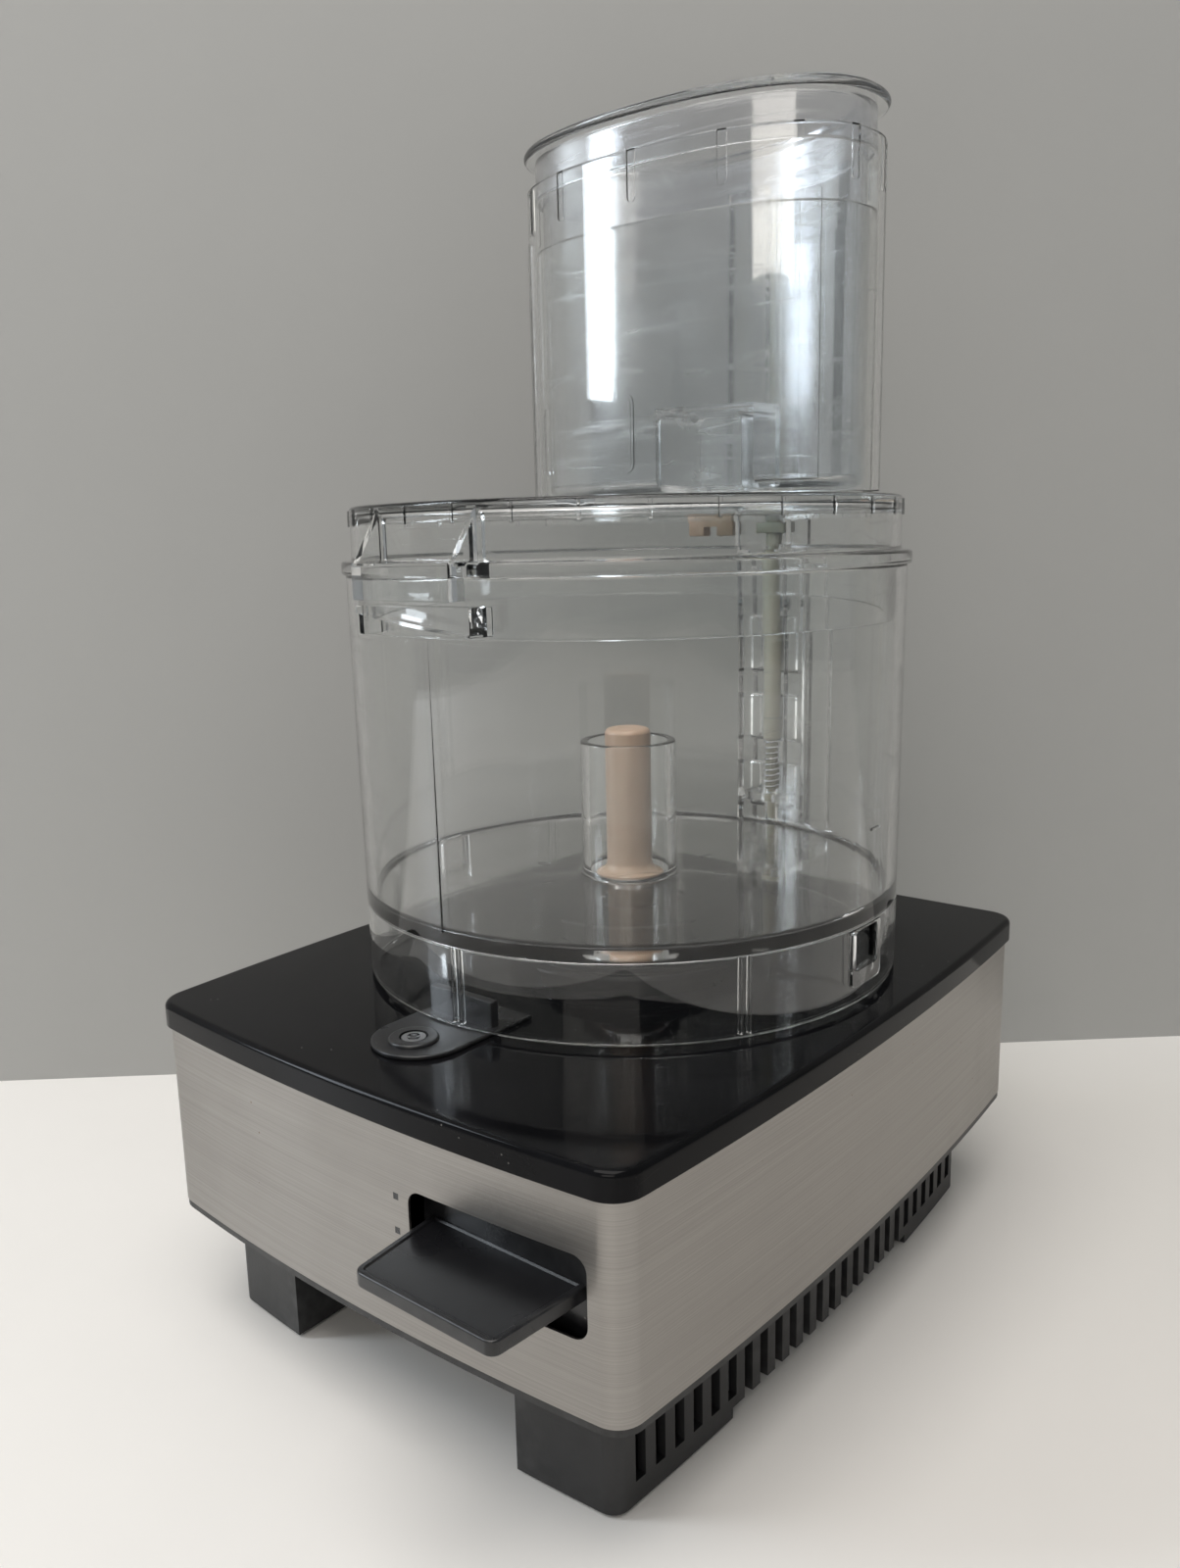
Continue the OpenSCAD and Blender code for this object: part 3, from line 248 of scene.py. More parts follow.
    def _wear(self) -> bpy.types.NodeTree:
        """Rubbed edges, from 0 on faces to 1 on worn corners."""
        tree, inp, out = self._start("edge_wear", {"Vector": (Kind.VECTOR, None), "Amount": (Kind.VALUE, 0.5)}, "Mask")
        edge = tree.remap(tree.add("NewGeometry").outputs["Pointiness"], 0.52, 0.6, 0.0, 1.0)
        broken = tree.remap(self._noise(tree, inp.outputs["Vector"], 220.0, 4.0), 0.4, 0.65, 0.0, 1.0)
        worn = tree.math("MULTIPLY", tree.math("MULTIPLY", edge, broken), inp.outputs["Amount"])
        tree.join(worn, out.inputs[0])
        return tree.tree


GROUPS = GroupShelf()


# ---------------------------------------------------------------- finishes


@dataclass(frozen=True)
class Finish:
    """A surface finish, from which one material is made.

    Fields ending in _lines, _marks and _dust say how much of each effect shows, from 0 to 1.
    """

    name: str
    colour: Point
    second: Point
    rough: float
    metal: float = 0.0
    coat: float = 0.0
    glass: float = 0.0
    ior: float = 1.5
    shine: float = 0.5
    sheen_turn: float = 0.0
    soft: float = 0.0
    grain_scale: float = 900.0
    grain_depth: float = 0.0
    streaks: float = 0.0
    rough_marks: float = 0.08
    scratch_lines: float = 0.0
    dust: float = 0.0
    dust_colour: Point = (0.30, 0.29, 0.27)
    dust_scale: float = 160.0
    dust_size: float = 0.09
    edge_marks: float = 0.0
    edge_colour: Point = (0.12, 0.12, 0.12)
    layers: float = 0.0

    def make(self) -> bpy.types.Material:
        """Builds the material."""
        material = bpy.data.materials.new(self.name)
        material.use_nodes = True
        tree = Tree(material.node_tree)
        place = tree.add("TexCoord").outputs["Object"]
        bsdf = tree.add("BsdfPrincipled")
        bsdf.inputs["Metallic"].default_value = self.metal
        bsdf.inputs["IOR"].default_value = self.ior
        bsdf.inputs["Transmission Weight"].default_value = self.glass
        bsdf.inputs["Coat Weight"].default_value = self.coat
        bsdf.inputs["Coat Roughness"].default_value = 0.06
        bsdf.inputs["Specular IOR Level"].default_value = self.shine
        bsdf.inputs["Anisotropic"].default_value = self.sheen_turn
        bsdf.inputs["Subsurface Weight"].default_value = self.soft
        bsdf.inputs["Subsurface Scale"].default_value = 0.004
        if self.sheen_turn:
            around = tree.add("Tangent", direction_type="RADIAL", axis="Z")
            tree.join(around.outputs[0], bsdf.inputs["Tangent"])
        tree.join(self._colour(tree, place), bsdf.inputs["Base Color"])
        tree.join(self._roughness(tree, place), bsdf.inputs["Roughness"])
        normal = self._relief(tree, place)
        if normal is not None:
            tree.join(normal, bsdf.inputs["Normal"])
        output = tree.add("OutputMaterial")
        surface = bsdf.outputs[0]
        if self.glass:
            surface = self._let_light_in(tree, surface)
        tree.join(surface, output.inputs["Surface"])
        return material

    def _group(self, tree: Tree, name: str, place: bpy.types.NodeSocket, **values: float) -> bpy.types.NodeSocket:
        """Places a shared group with its own values; returns its output."""
        node = tree.add("Group", node_tree=GROUPS.get(name))
        tree.join(place, node.inputs["Vector"])
        for label, value in values.items():
            node.inputs[label].default_value = value
        return node.outputs[0]

    def _colour(self, tree: Tree, place: bpy.types.NodeSocket) -> bpy.types.NodeSocket:
        """The base colour, with patches, streaks, worn edges and dust."""
        if self.streaks:
            mask = self._group(tree, "streak", place, Fineness=1.0)
            mask = tree.remap(mask, 0.35, 0.65, 0.0, 1.0)
        else:
            mask = self._group(tree, "smudge", place, Scale=31.0)
        colour = tree.blend(mask, self.colour, self.second)
        if self.layers:
            lift = tree.add("SeparateXYZ")
            tree.join(place, lift.inputs[0])
            wave = tree.math("SINE", tree.math("MULTIPLY", lift.outputs["Z"], self.layers))
            dark = tuple(0.55 * c for c in self.colour)
            colour = tree.blend(tree.remap(wave, 0.2, 0.9, 0.0, 1.0), colour, dark)
        if self.edge_marks:
            worn = self._group(tree, "wear", place, Amount=self.edge_marks)
            colour = tree.blend(worn, colour, self.edge_colour)
        if self.dust:
            dots = self._group(tree, "speck", place, Scale=self.dust_scale, Size=self.dust_size)
            colour = tree.blend(tree.math("MULTIPLY", dots, self.dust), colour, self.dust_colour)
        return colour

    def _roughness(self, tree: Tree, place: bpy.types.NodeSocket) -> bpy.types.NodeSocket:
        """The roughness, with handling marks and scratches."""
        marks = self._group(tree, "smudge", place, Scale=14.0)
        rough = tree.math("ADD", self.rough, tree.math("MULTIPLY", marks, self.rough_marks))
        if self.scratch_lines:
            lines = self._group(tree, "hairline", place)
            rough = tree.math("ADD", rough, tree.math("MULTIPLY", lines, 0.25 * self.scratch_lines))
        return rough

    def _relief(self, tree: Tree, place: bpy.types.NodeSocket) -> bpy.types.NodeSocket | None:
        """The surface's fine relief as a normal, or None where it is smooth."""
        height, depth = None, 0.0
        if self.streaks:
            height, depth = self._group(tree, "streak", place, Fineness=1.0), 0.00003 * self.streaks
        elif self.grain_depth:
            height, depth = self._group(tree, "grain", place, Scale=self.grain_scale), self.grain_depth * MM
        elif self.scratch_lines:
            height, depth = self._group(tree, "hairline", place), 0.00002 * self.scratch_lines
        if height is None:
            return None
        bump = tree.add("Bump", in_Strength=1.0, in_Distance=depth)
        tree.join(height, bump.inputs["Height"])
        return bump.outputs[0]

    def _let_light_in(self, tree: Tree, surface: bpy.types.NodeSocket) -> bpy.types.NodeSocket:
        """Lets lamps shine through a clear wall instead of casting a black shadow."""
        clear = tree.add("BsdfTransparent", in_Color=(0.93, 0.94, 0.935, 1.0))
        mix = tree.add("MixShader")
        tree.join(tree.add("LightPath").outputs["Is Shadow Ray"], mix.inputs[0])
        tree.join(surface, mix.inputs[1])
        tree.join(clear.outputs[0], mix.inputs[2])
        return mix.outputs[0]


FINISHES = [
    Finish("steel", (0.285, 0.27, 0.255), (0.345, 0.33, 0.31), 0.32, metal=1.0, sheen_turn=0.55, streaks=1.0,
           rough_marks=0.12, dust=0.8, dust_colour=(0.16, 0.09, 0.05), dust_scale=120.0, dust_size=0.035),
    Finish("cover_black", (0.0035, 0.0035, 0.004), (0.006, 0.006, 0.007), 0.06, ior=1.33, shine=0.2, scratch_lines=0.4,
           rough_marks=0.06, dust=0.35, dust_size=0.045, dust_scale=190.0),
    Finish("housing_black", (0.010, 0.010, 0.0105), (0.017, 0.017, 0.018), 0.42, grain_depth=0.03, grain_scale=1400.0,
           rough_marks=0.10, dust=0.25, dust_size=0.05, edge_marks=0.5, edge_colour=(0.05, 0.05, 0.05)),
    Finish("lever_black", (0.007, 0.007, 0.008), (0.012, 0.012, 0.013), 0.24, grain_depth=0.012, grain_scale=2200.0,
           rough_marks=0.14, dust=0.3, dust_size=0.05, edge_marks=0.7, edge_colour=(0.06, 0.06, 0.062)),
    Finish("clear", (0.985, 0.99, 0.987), (0.97, 0.976, 0.972), 0.012, glass=1.0, ior=1.47, scratch_lines=0.15,
           rough_marks=0.03),
    # Painted shade: the floor finish's darker tint stands in for the black cover and dome seen through the bowl's
    # floor; its lower IOR weakens the floor's reflections.
    Finish("clear_floor_painted_shade", (0.80, 0.80, 0.79), (0.74, 0.74, 0.73), 0.02, glass=1.0, ior=1.24),
    Finish("clear_hazy", (0.94, 0.945, 0.96), (0.90, 0.905, 0.92), 0.07, glass=1.0, ior=1.47, scratch_lines=0.5,
           rough_marks=0.16),
    # Painted shade: a dark tint for clear edges and strips that look darker where the plastic is thick.
    Finish("clear_edge_painted_shade", (0.40, 0.41, 0.41), (0.34, 0.35, 0.35), 0.03, glass=1.0, ior=1.47),
    Finish("cream", (0.62, 0.43, 0.31), (0.53, 0.36, 0.25), 0.36, soft=0.12, grain_depth=0.008, grain_scale=700.0,
           edge_marks=0.5, edge_colour=(0.42, 0.27, 0.18)),
    Finish("ivory", (0.70, 0.65, 0.54), (0.62, 0.57, 0.46), 0.34, soft=0.10, grain_depth=0.006),
    Finish("rubber", (0.018, 0.018, 0.018), (0.03, 0.03, 0.029), 0.72, grain_depth=0.03, grain_scale=1100.0, dust=0.4),
    Finish("fastener", (0.42, 0.42, 0.43), (0.30, 0.30, 0.31), 0.30, metal=1.0, grain_depth=0.008, scratch_lines=0.4),
    Finish("lamination", (0.20, 0.20, 0.21), (0.28, 0.27, 0.26), 0.42, metal=0.85, grain_depth=0.02, layers=6300.0),
    Finish("copper", (0.50, 0.19, 0.07), (0.62, 0.27, 0.11), 0.26, metal=0.9, coat=0.5, grain_depth=0.05, grain_scale=300.0),
    Finish("alloy", (0.55, 0.56, 0.57), (0.47, 0.48, 0.49), 0.40, metal=1.0, grain_depth=0.03, grain_scale=800.0),
    Finish("bronze", (0.46, 0.31, 0.14), (0.38, 0.25, 0.11), 0.38, metal=1.0, grain_depth=0.02, grain_scale=1500.0),
    Finish("shaft_steel", (0.58, 0.58, 0.59), (0.50, 0.50, 0.51), 0.20, metal=1.0, streaks=0.5),
    Finish("switch_grey", (0.05, 0.05, 0.055), (0.07, 0.07, 0.075), 0.38, grain_depth=0.02),
    Finish("capacitor_can", (0.62, 0.63, 0.64), (0.54, 0.55, 0.56), 0.28, metal=1.0, grain_depth=0.01),
    Finish("spring_wire", (0.55, 0.55, 0.56), (0.45, 0.45, 0.46), 0.22, metal=1.0, grain_depth=0.004),
]
MATERIALS: dict[str, bpy.types.Material] = {finish.name: finish.make() for finish in FINISHES}


# ---------------------------------------------------------------- mesh craft


def outline_mesh(points: Sequence[Point], corners: float | Sequence[float], segments: int = 4) -> bmesh.types.BMesh:
    """A flat face with rounded corners, in the XY plane.

    Args:
        points: the outline's corners in millimetres.
        corners: one corner radius, or one for each point.
        segments: steps round each corner.
    Returns:
        The mesh with its one face.
    """
    bm = bmesh.new()
    verts = [bm.verts.new((x, y, 0.0)) for x, y in points]
    bm.faces.new(verts)
    radii = [corners] * len(points) if isinstance(corners, (int, float)) else list(corners)
    for radius in sorted(set(radii)):
        if radius > 0:
            chosen = [v for v, r in zip(verts, radii) if r == radius]
            bmesh.ops.bevel(bm, geom=chosen, offset=radius, offset_type="OFFSET", affect="VERTICES",
                            segments=segments, profile=0.5, material=-1, clamp_overlap=True)
    return bm


def lathe(points: Sequence[Point], corners: float | Sequence[float] = 0.0, steps: int = 160, segments: int = 3) -> bmesh.types.BMesh:
    """A closed profile of (radius, height) points spun round the spindle axis."""
    bm = outline_mesh(points, corners, segments)
    bmesh.ops.rotate(bm, verts=bm.verts[:], cent=(0, 0, 0), matrix=Matrix.Rotation(math.pi / 2, 3, "X"))
    bmesh.ops.delete(bm, geom=bm.faces[:], context="FACES_ONLY")
    bmesh.ops.spin(bm, geom=bm.verts[:] + bm.edges[:], cent=(0, 0, 0), axis=(0, 0, 1), dvec=(0, 0, 0),
                   angle=2 * math.pi, steps=steps, use_merge=True, use_duplicate=False)
    return tidy(bm)


def weld(bm: bmesh.types.BMesh) -> bmesh.types.BMesh:
    """Merges doubles and drops empty faces."""
    bmesh.ops.remove_doubles(bm, verts=bm.verts[:], dist=0.0005)
    bmesh.ops.dissolve_degenerate(bm, edges=bm.edges[:], dist=0.0005)
    return bm


def tidy(bm: bmesh.types.BMesh) -> bmesh.types.BMesh:
    """Welds a solid without cavities and turns every face outwards."""
    weld(bm)
    bmesh.ops.recalc_face_normals(bm, faces=bm.faces[:])
    return bm


def prism(points: Sequence[Point], corners: float | Sequence[float], low: float, high: float, rim: float = 0.0, segments: int = 4) -> bmesh.types.BMesh:
    """An upright solid from an outline, with its upper and lower rims rounded by rim."""
    bm = outline_mesh(points, corners, segments)
    bmesh.ops.translate(bm, verts=bm.verts[:], vec=(0, 0, low))
    grown = bmesh.ops.extrude_face_region(bm, geom=bm.faces[:])
    top = [g for g in grown["geom"] if isinstance(g, bmesh.types.BMVert)]
    bmesh.ops.translate(bm, verts=top, vec=(0, 0, high - low))
    tidy(bm)
    if rim > 0:
        caps = [f for f in bm.faces if abs(f.normal.z) > 0.99]
        edges = list({e for f in caps for e in f.edges})
        bmesh.ops.bevel(bm, geom=edges, offset=rim, offset_type="OFFSET", affect="EDGES", segments=3,
                        profile=0.5, material=-1, clamp_overlap=True)
    return tidy(bm)


def block(low: Point, high: Point, edge: float = 0.0, segments: int = 2) -> bmesh.types.BMesh:
    """A box between two corners with rounded edges."""
    bm = bmesh.new()
    bmesh.ops.create_cube(bm, size=1.0)
    size = [h - l for l, h in zip(low, high)]
    bmesh.ops.scale(bm, vec=size, verts=bm.verts[:])
    bmesh.ops.translate(bm, vec=[(l + h) / 2 for l, h in zip(low, high)], verts=bm.verts[:])
    if edge > 0:
        bmesh.ops.bevel(bm, geom=bm.edges[:], offset=edge, offset_type="OFFSET", affect="EDGES", segments=segments,
                        profile=0.5, material=-1, clamp_overlap=True)
    return bm


def drum(radius: float, low: float, high: float, edge: float = 0.0, centre: Point = (0.0, 0.0), steps: int = 32) -> bmesh.types.BMesh:
    """An upright round solid with rounded rims."""
    bm = lathe([(0, low), (radius, low), (radius, high), (0, high)], [0, edge, edge, 0], steps)
    bmesh.ops.translate(bm, vec=(*centre, 0), verts=bm.verts[:])
    return bm


def turned(bm: bmesh.types.BMesh, degrees: float, axis: str = "Z", centre: Point = (0, 0, 0)) -> bmesh.types.BMesh:
    """The mesh, turned about an axis through centre."""
    bmesh.ops.rotate(bm, verts=bm.verts[:], cent=centre, matrix=Matrix.Rotation(math.radians(degrees), 3, axis))
    return bm


def moved(bm: bmesh.types.BMesh, x: float = 0.0, y: float = 0.0, z: float = 0.0) -> bmesh.types.BMesh:
    """The mesh, moved."""
    bmesh.ops.translate(bm, verts=bm.verts[:], vec=(x, y, z))
    return bm


def gathered(parts: Iterable[bmesh.types.BMesh]) -> bmesh.types.BMesh:
    """Several meshes as separate shells of one."""
    whole = bmesh.new()
    for part in parts:
        scratch = bpy.data.meshes.new("scratch")
        part.to_mesh(scratch)
        part.free()
        whole.from_mesh(scratch)
        bpy.data.meshes.remove(scratch)
    return whole


def carve(bm: bmesh.types.BMesh, tools: Iterable[bmesh.types.BMesh], operation: str = "DIFFERENCE") -> bmesh.types.BMesh:
    """Cuts tools out of a mesh, or joins them to it, as one closed solid.

    Args:
        bm: the solid that is worked on; it is freed.
        tools: the solids that cut or join it; they are freed.
        operation: DIFFERENCE, UNION or INTERSECT.
    Returns:
        The new mesh.
    """
    hands = []
    for source in (weld(bm), weld(gathered(tools))):
        mesh = bpy.data.meshes.new("work")
        source.to_mesh(mesh)
        source.free()
        obj = bpy.data.objects.new("work", mesh)
        bpy.context.scene.collection.objects.link(obj)
        hands.append(obj)
    body, tool = hands
    modifier = body.modifiers.new("carve", "BOOLEAN")
    modifier.object = tool
    modifier.operation = operation
    modifier.solver = "EXACT"
    modifier.use_self = operation == "UNION"
    graph = bpy.context.evaluated_depsgraph_get()
    made = body.evaluated_get(graph).to_mesh()
    result = bmesh.new()
    result.from_mesh(made)
    for obj in hands:
        mesh = obj.data
        bpy.data.objects.remove(obj)
        bpy.data.meshes.remove(mesh)
    return result


def rounded_box_outline(width: float, height: float) -> list[Point]:
    """Corners of a centred rectangle."""
    return [(-width / 2, -height / 2), (width / 2, -height / 2), (width / 2, height / 2), (-width / 2, height / 2)]


@dataclass(frozen=True)
class Post:
    """Where a finished piece goes: its body, its slot and the CAD nodes that it stands for."""

    body: str
    slot: str
    nodes: tuple[str, ...] = ()


def hand_over(bm: bmesh.types.BMesh, name: str, post: Post, crease: float = 32.0) -> bpy.types.Object:
    """Turns a mesh in millimetres into a finished piece of the frame.

    Args:
        bm: the mesh; it is freed.
        name: the piece's name.
        post: its place in the frame.
        crease: the angle in degrees above which an edge stays sharp.
    Returns:
        The piece.
    """
    weld(bm)
    for face in bm.faces:
        face.smooth = True
    for edge in bm.edges:
        edge.smooth = len(edge.link_faces) != 2 or edge.calc_face_angle(0.0) < math.radians(crease)
    bmesh.ops.scale(bm, vec=(MM, MM, MM), verts=bm.verts[:])
    mesh = bpy.data.meshes.new(name)
    bm.to_mesh(mesh)
    bm.free()
    obj = bpy.data.objects.new(name, mesh)
    bpy.context.scene.collection.objects.link(obj)
    mesh.materials.append(MATERIALS[post.slot])
    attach(obj, post.body)
    if post.nodes:
        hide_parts(*post.nodes)
    log.info("%s: %d faces on %s", name, len(mesh.polygons), post.body)
    return obj


def dressed_copy(node: str, slot: str, edge: float = 0.2, segments: int = 2) -> bpy.types.Object:
    """A cleaned copy of a CAD node with its edges rounded, standing for the node.

    Args:
        node: the CAD node's name.
        slot: its material slot.
        edge: the width of the rounding in millimetres.
        segments: steps in the rounding.
    Returns:
        The piece.
    """
    source = frame["nodes"][node]
    bm = bmesh.new()
    bm.from_mesh(source.data)
    bmesh.ops.scale(bm, vec=(1 / MM,) * 3, verts=bm.verts[:])
    bmesh.ops.remove_doubles(bm, verts=bm.verts[:], dist=0.002)
    bmesh.ops.dissolve_degenerate(bm, edges=bm.edges[:], dist=0.002)
    bmesh.ops.dissolve_limit(bm, angle_limit=math.radians(0.6), use_dissolve_boundaries=False,
                             verts=bm.verts[:], edges=bm.edges[:])
    if edge > 0:
        sharp = [e for e in bm.edges if len(e.link_faces) == 2 and e.calc_face_angle(0.0) > math.radians(40)]
        bmesh.ops.bevel(bm, geom=sharp, offset=edge, offset_type="OFFSET", affect="EDGES", segments=segments,
                        profile=0.5, material=-1, clamp_overlap=True)
    return hand_over(bm, node + "_dressed", Post(source["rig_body"], slot, (node,)))


# ---------------------------------------------------------------- outlines of the product


@dataclass(frozen=True)
class BasePlan:
    """The base's plan: bowed sides and front, straight rear and round corners, in millimetres."""

    half_width: float = 88.0
    front: float = 120.0
    rear: float = 107.0
    side_bow: float = 5.2
    front_bow: float = 4.7

    @property
    def side_radius(self) -> float:
        """Radius of the sides' bow."""
        half = (self.rear + self.front) / 2
        return (half ** 2 + self.side_bow ** 2) / (2 * self.side_bow)

    @property
    def front_radius(self) -> float:
        """Radius of the front's bow."""
        return (self.half_width ** 2 + self.front_bow ** 2) / (2 * self.front_bow)

    def side_x(self, y: float, inset: float) -> float:
        """Half width at y, set in by inset."""
        middle = (self.rear - self.front) / 2
        return self.half_width + self.side_bow - self.side_radius + math.sqrt((self.side_radius - inset) ** 2 - (y - middle) ** 2)

    def front_y(self, x: float, inset: float = 0.0) -> float:
        """The front's place at x, set in by inset."""
        radius = self.front_radius
        return -(self.front + self.front_bow - radius + math.sqrt((radius - inset) ** 2 - x ** 2))

    def loop(self, inset: float, corner: float, z: float) -> list[Vector]:
        """The plan as points.

        Args:
            inset: how far it is set in all round.
            corner: the corner radius.
            z: the height.
        Returns:
            The loop, with the same number of points whatever the inset.
        """
        t = inset + corner
        front_corner = self._meet(lambda x: self.front_y(x, t), t)
        rear_corner = self._meet(lambda x: self.rear - t, t)
        middle = (self.rear - self.front) / 2
        front_turn = math.asin(front_corner[0] / (self.front_radius - t))
        side_from = math.asin((front_corner[1] - middle) / (self.side_radius - t))
        side_to = math.asin((rear_corner[1] - middle) / (self.side_radius - t))
        half: list[Point] = []
        for i in range(13):
            a = front_turn * i / 12
            radius = self.front_radius - inset
            half.append((radius * math.sin(a), -(self.front + self.front_bow - self.front_radius) - radius * math.cos(a)))
        for i in range(1, 12):
            a = -math.pi / 2 + front_turn + (math.pi / 2 - front_turn + side_from) * i / 12
            half.append((front_corner[0] + corner * math.cos(a), front_corner[1] + corner * math.sin(a)))
        for i in range(21):
            a = side_from + (side_to - side_from) * i / 20
            half.append((self.half_width + self.side_bow - self.side_radius + (self.side_radius - inset) * math.cos(a),
                         middle + (self.side_radius - inset) * math.sin(a)))
        for i in range(1, 13):
            a = side_to + (math.pi / 2 - side_to) * i / 12
            half.append((rear_corner[0] + corner * math.cos(a), rear_corner[1] + corner * math.sin(a)))
        return [Vector((x, y, z)) for x, y in half] + [Vector((-x, y, z)) for x, y in reversed(half[1:])]

    def _meet(self, y_at: Callable[[float], float], inset: float) -> Point:
        """Where the inset side meets another inset edge."""
        x = 0.0
        for _ in range(6):
            x = self.side_x(y_at(x), inset)
        return x, y_at(x)


PLAN = BasePlan()


def loft(loops: Sequence[Sequence[Vector]], ring: bool = False) -> bmesh.types.BMesh:
    """A closed skin through loops of the same count.

    Args:
        loops: the loops in order.
        ring: True if the last loop joins the first, and otherwise both ends are capped.
    Returns:
        The mesh.
    """
    bm = bmesh.new()
    rows = [[bm.verts.new(p) for p in loop] for loop in loops]
    pairs = list(zip(rows, rows[1:]))
    if ring:
        pairs.append((rows[-1], rows[0]))
    for low, high in pairs:
        for i, _ in enumerate(low):
            k = (i + 1) % len(low)
            bm.faces.new((low[i], low[k], high[k], high[i]))
    if not ring:
        bm.faces.new(rows[0])
        bm.faces.new(rows[-1])
    return tidy(bm)


TUBE_MIDDLE = 40.6
OVAL_POWER = 2.3


def oval_loop(a: float, b: float, z: float, steps: int = 160) -> list[Vector]:
    """A flat-sided oval round the feed tube's middle, with half axes a and b."""
    points = []
    for i in range(steps):
        t = 2 * math.pi * i / steps
        c, s = math.cos(t), math.sin(t)
        x = a * math.copysign(abs(c) ** (2 / OVAL_POWER), c)
        y = b * math.copysign(abs(s) ** (2 / OVAL_POWER), s)
        points.append(Vector((x, TUBE_MIDDLE + y, z)))
    return points


def oval_skin(a: float, b: float, profile: Sequence[Point], ring: bool = True) -> bmesh.types.BMesh:
    """An oval shell or solid from a profile of (offset from the oval, height) points."""
    return loft([oval_loop(a + d, b + d, z) for d, z in profile], ring)


def oval_near(a: float, b: float, x: float) -> Vector:
    """The point of the oval's front side at x."""
    y = b * (1 - min(abs(x / a), 1.0) ** OVAL_POWER) ** (1 / OVAL_POWER)
    return Vector((x, TUBE_MIDDLE - y, 0.0))


def arc(cx: float, cz: float, radius: float, start: float, end: float, steps: int = 5) -> list[Point]:
    """Points on an arc, with angles in degrees."""
    angles = [math.radians(start + (end - start) * i / steps) for i in range(steps + 1)]
    return [(cx + radius * math.cos(t), cz + radius * math.sin(t)) for t in angles]


# ---------------------------------------------------------------- the base


def worn_edges(bm: bmesh.types.BMesh, width: float, over: float = 50.0, segments: int = 2) -> bmesh.types.BMesh:
    """Rounds every edge that turns by more than the angle over."""
    bmesh.ops.dissolve_limit(bm, angle_limit=math.radians(0.3), use_dissolve_boundaries=False,
                             verts=bm.verts[:], edges=bm.edges[:])
    sharp = [e for e in bm.edges if len(e.link_faces) == 2 and e.calc_face_angle(0.0) > math.radians(over)]
    bmesh.ops.bevel(bm, geom=sharp, offset=width, offset_type="OFFSET", affect="EDGES", segments=segments,
                    profile=0.5, material=-1, clamp_overlap=True)
    return bm


def weigh_normals(obj: bpy.types.Object) -> bpy.types.Object:
    """Keeps large flat faces flat beside rounded edges."""
    modifier = obj.modifiers.new("weigh_normals", "WEIGHTED_NORMAL")
    modifier.keep_sharp = True
    return obj


@dataclass(frozen=True)
class Heights:
    """Heights and radii that several pieces share, in millimetres."""

    steel_low: float = 38.0
    steel_top: float = 96.4
    cover_top: float = 103.0
    bowl_low: float = 104.6
    floor_top: float = 130.4
    hub_top: float = 173.6
    rim: float = 228.2
    lid_top: float = 248.0
    tube_top: float = 331.0
    sleeve_low: float = 249.6
    sleeve_top: float = 351.0
    pusher_low: float = 251.0
    pusher_top: float = 363.0
    sheath_top: float = 177.4
    rod_y: float = 92.6


H = Heights()


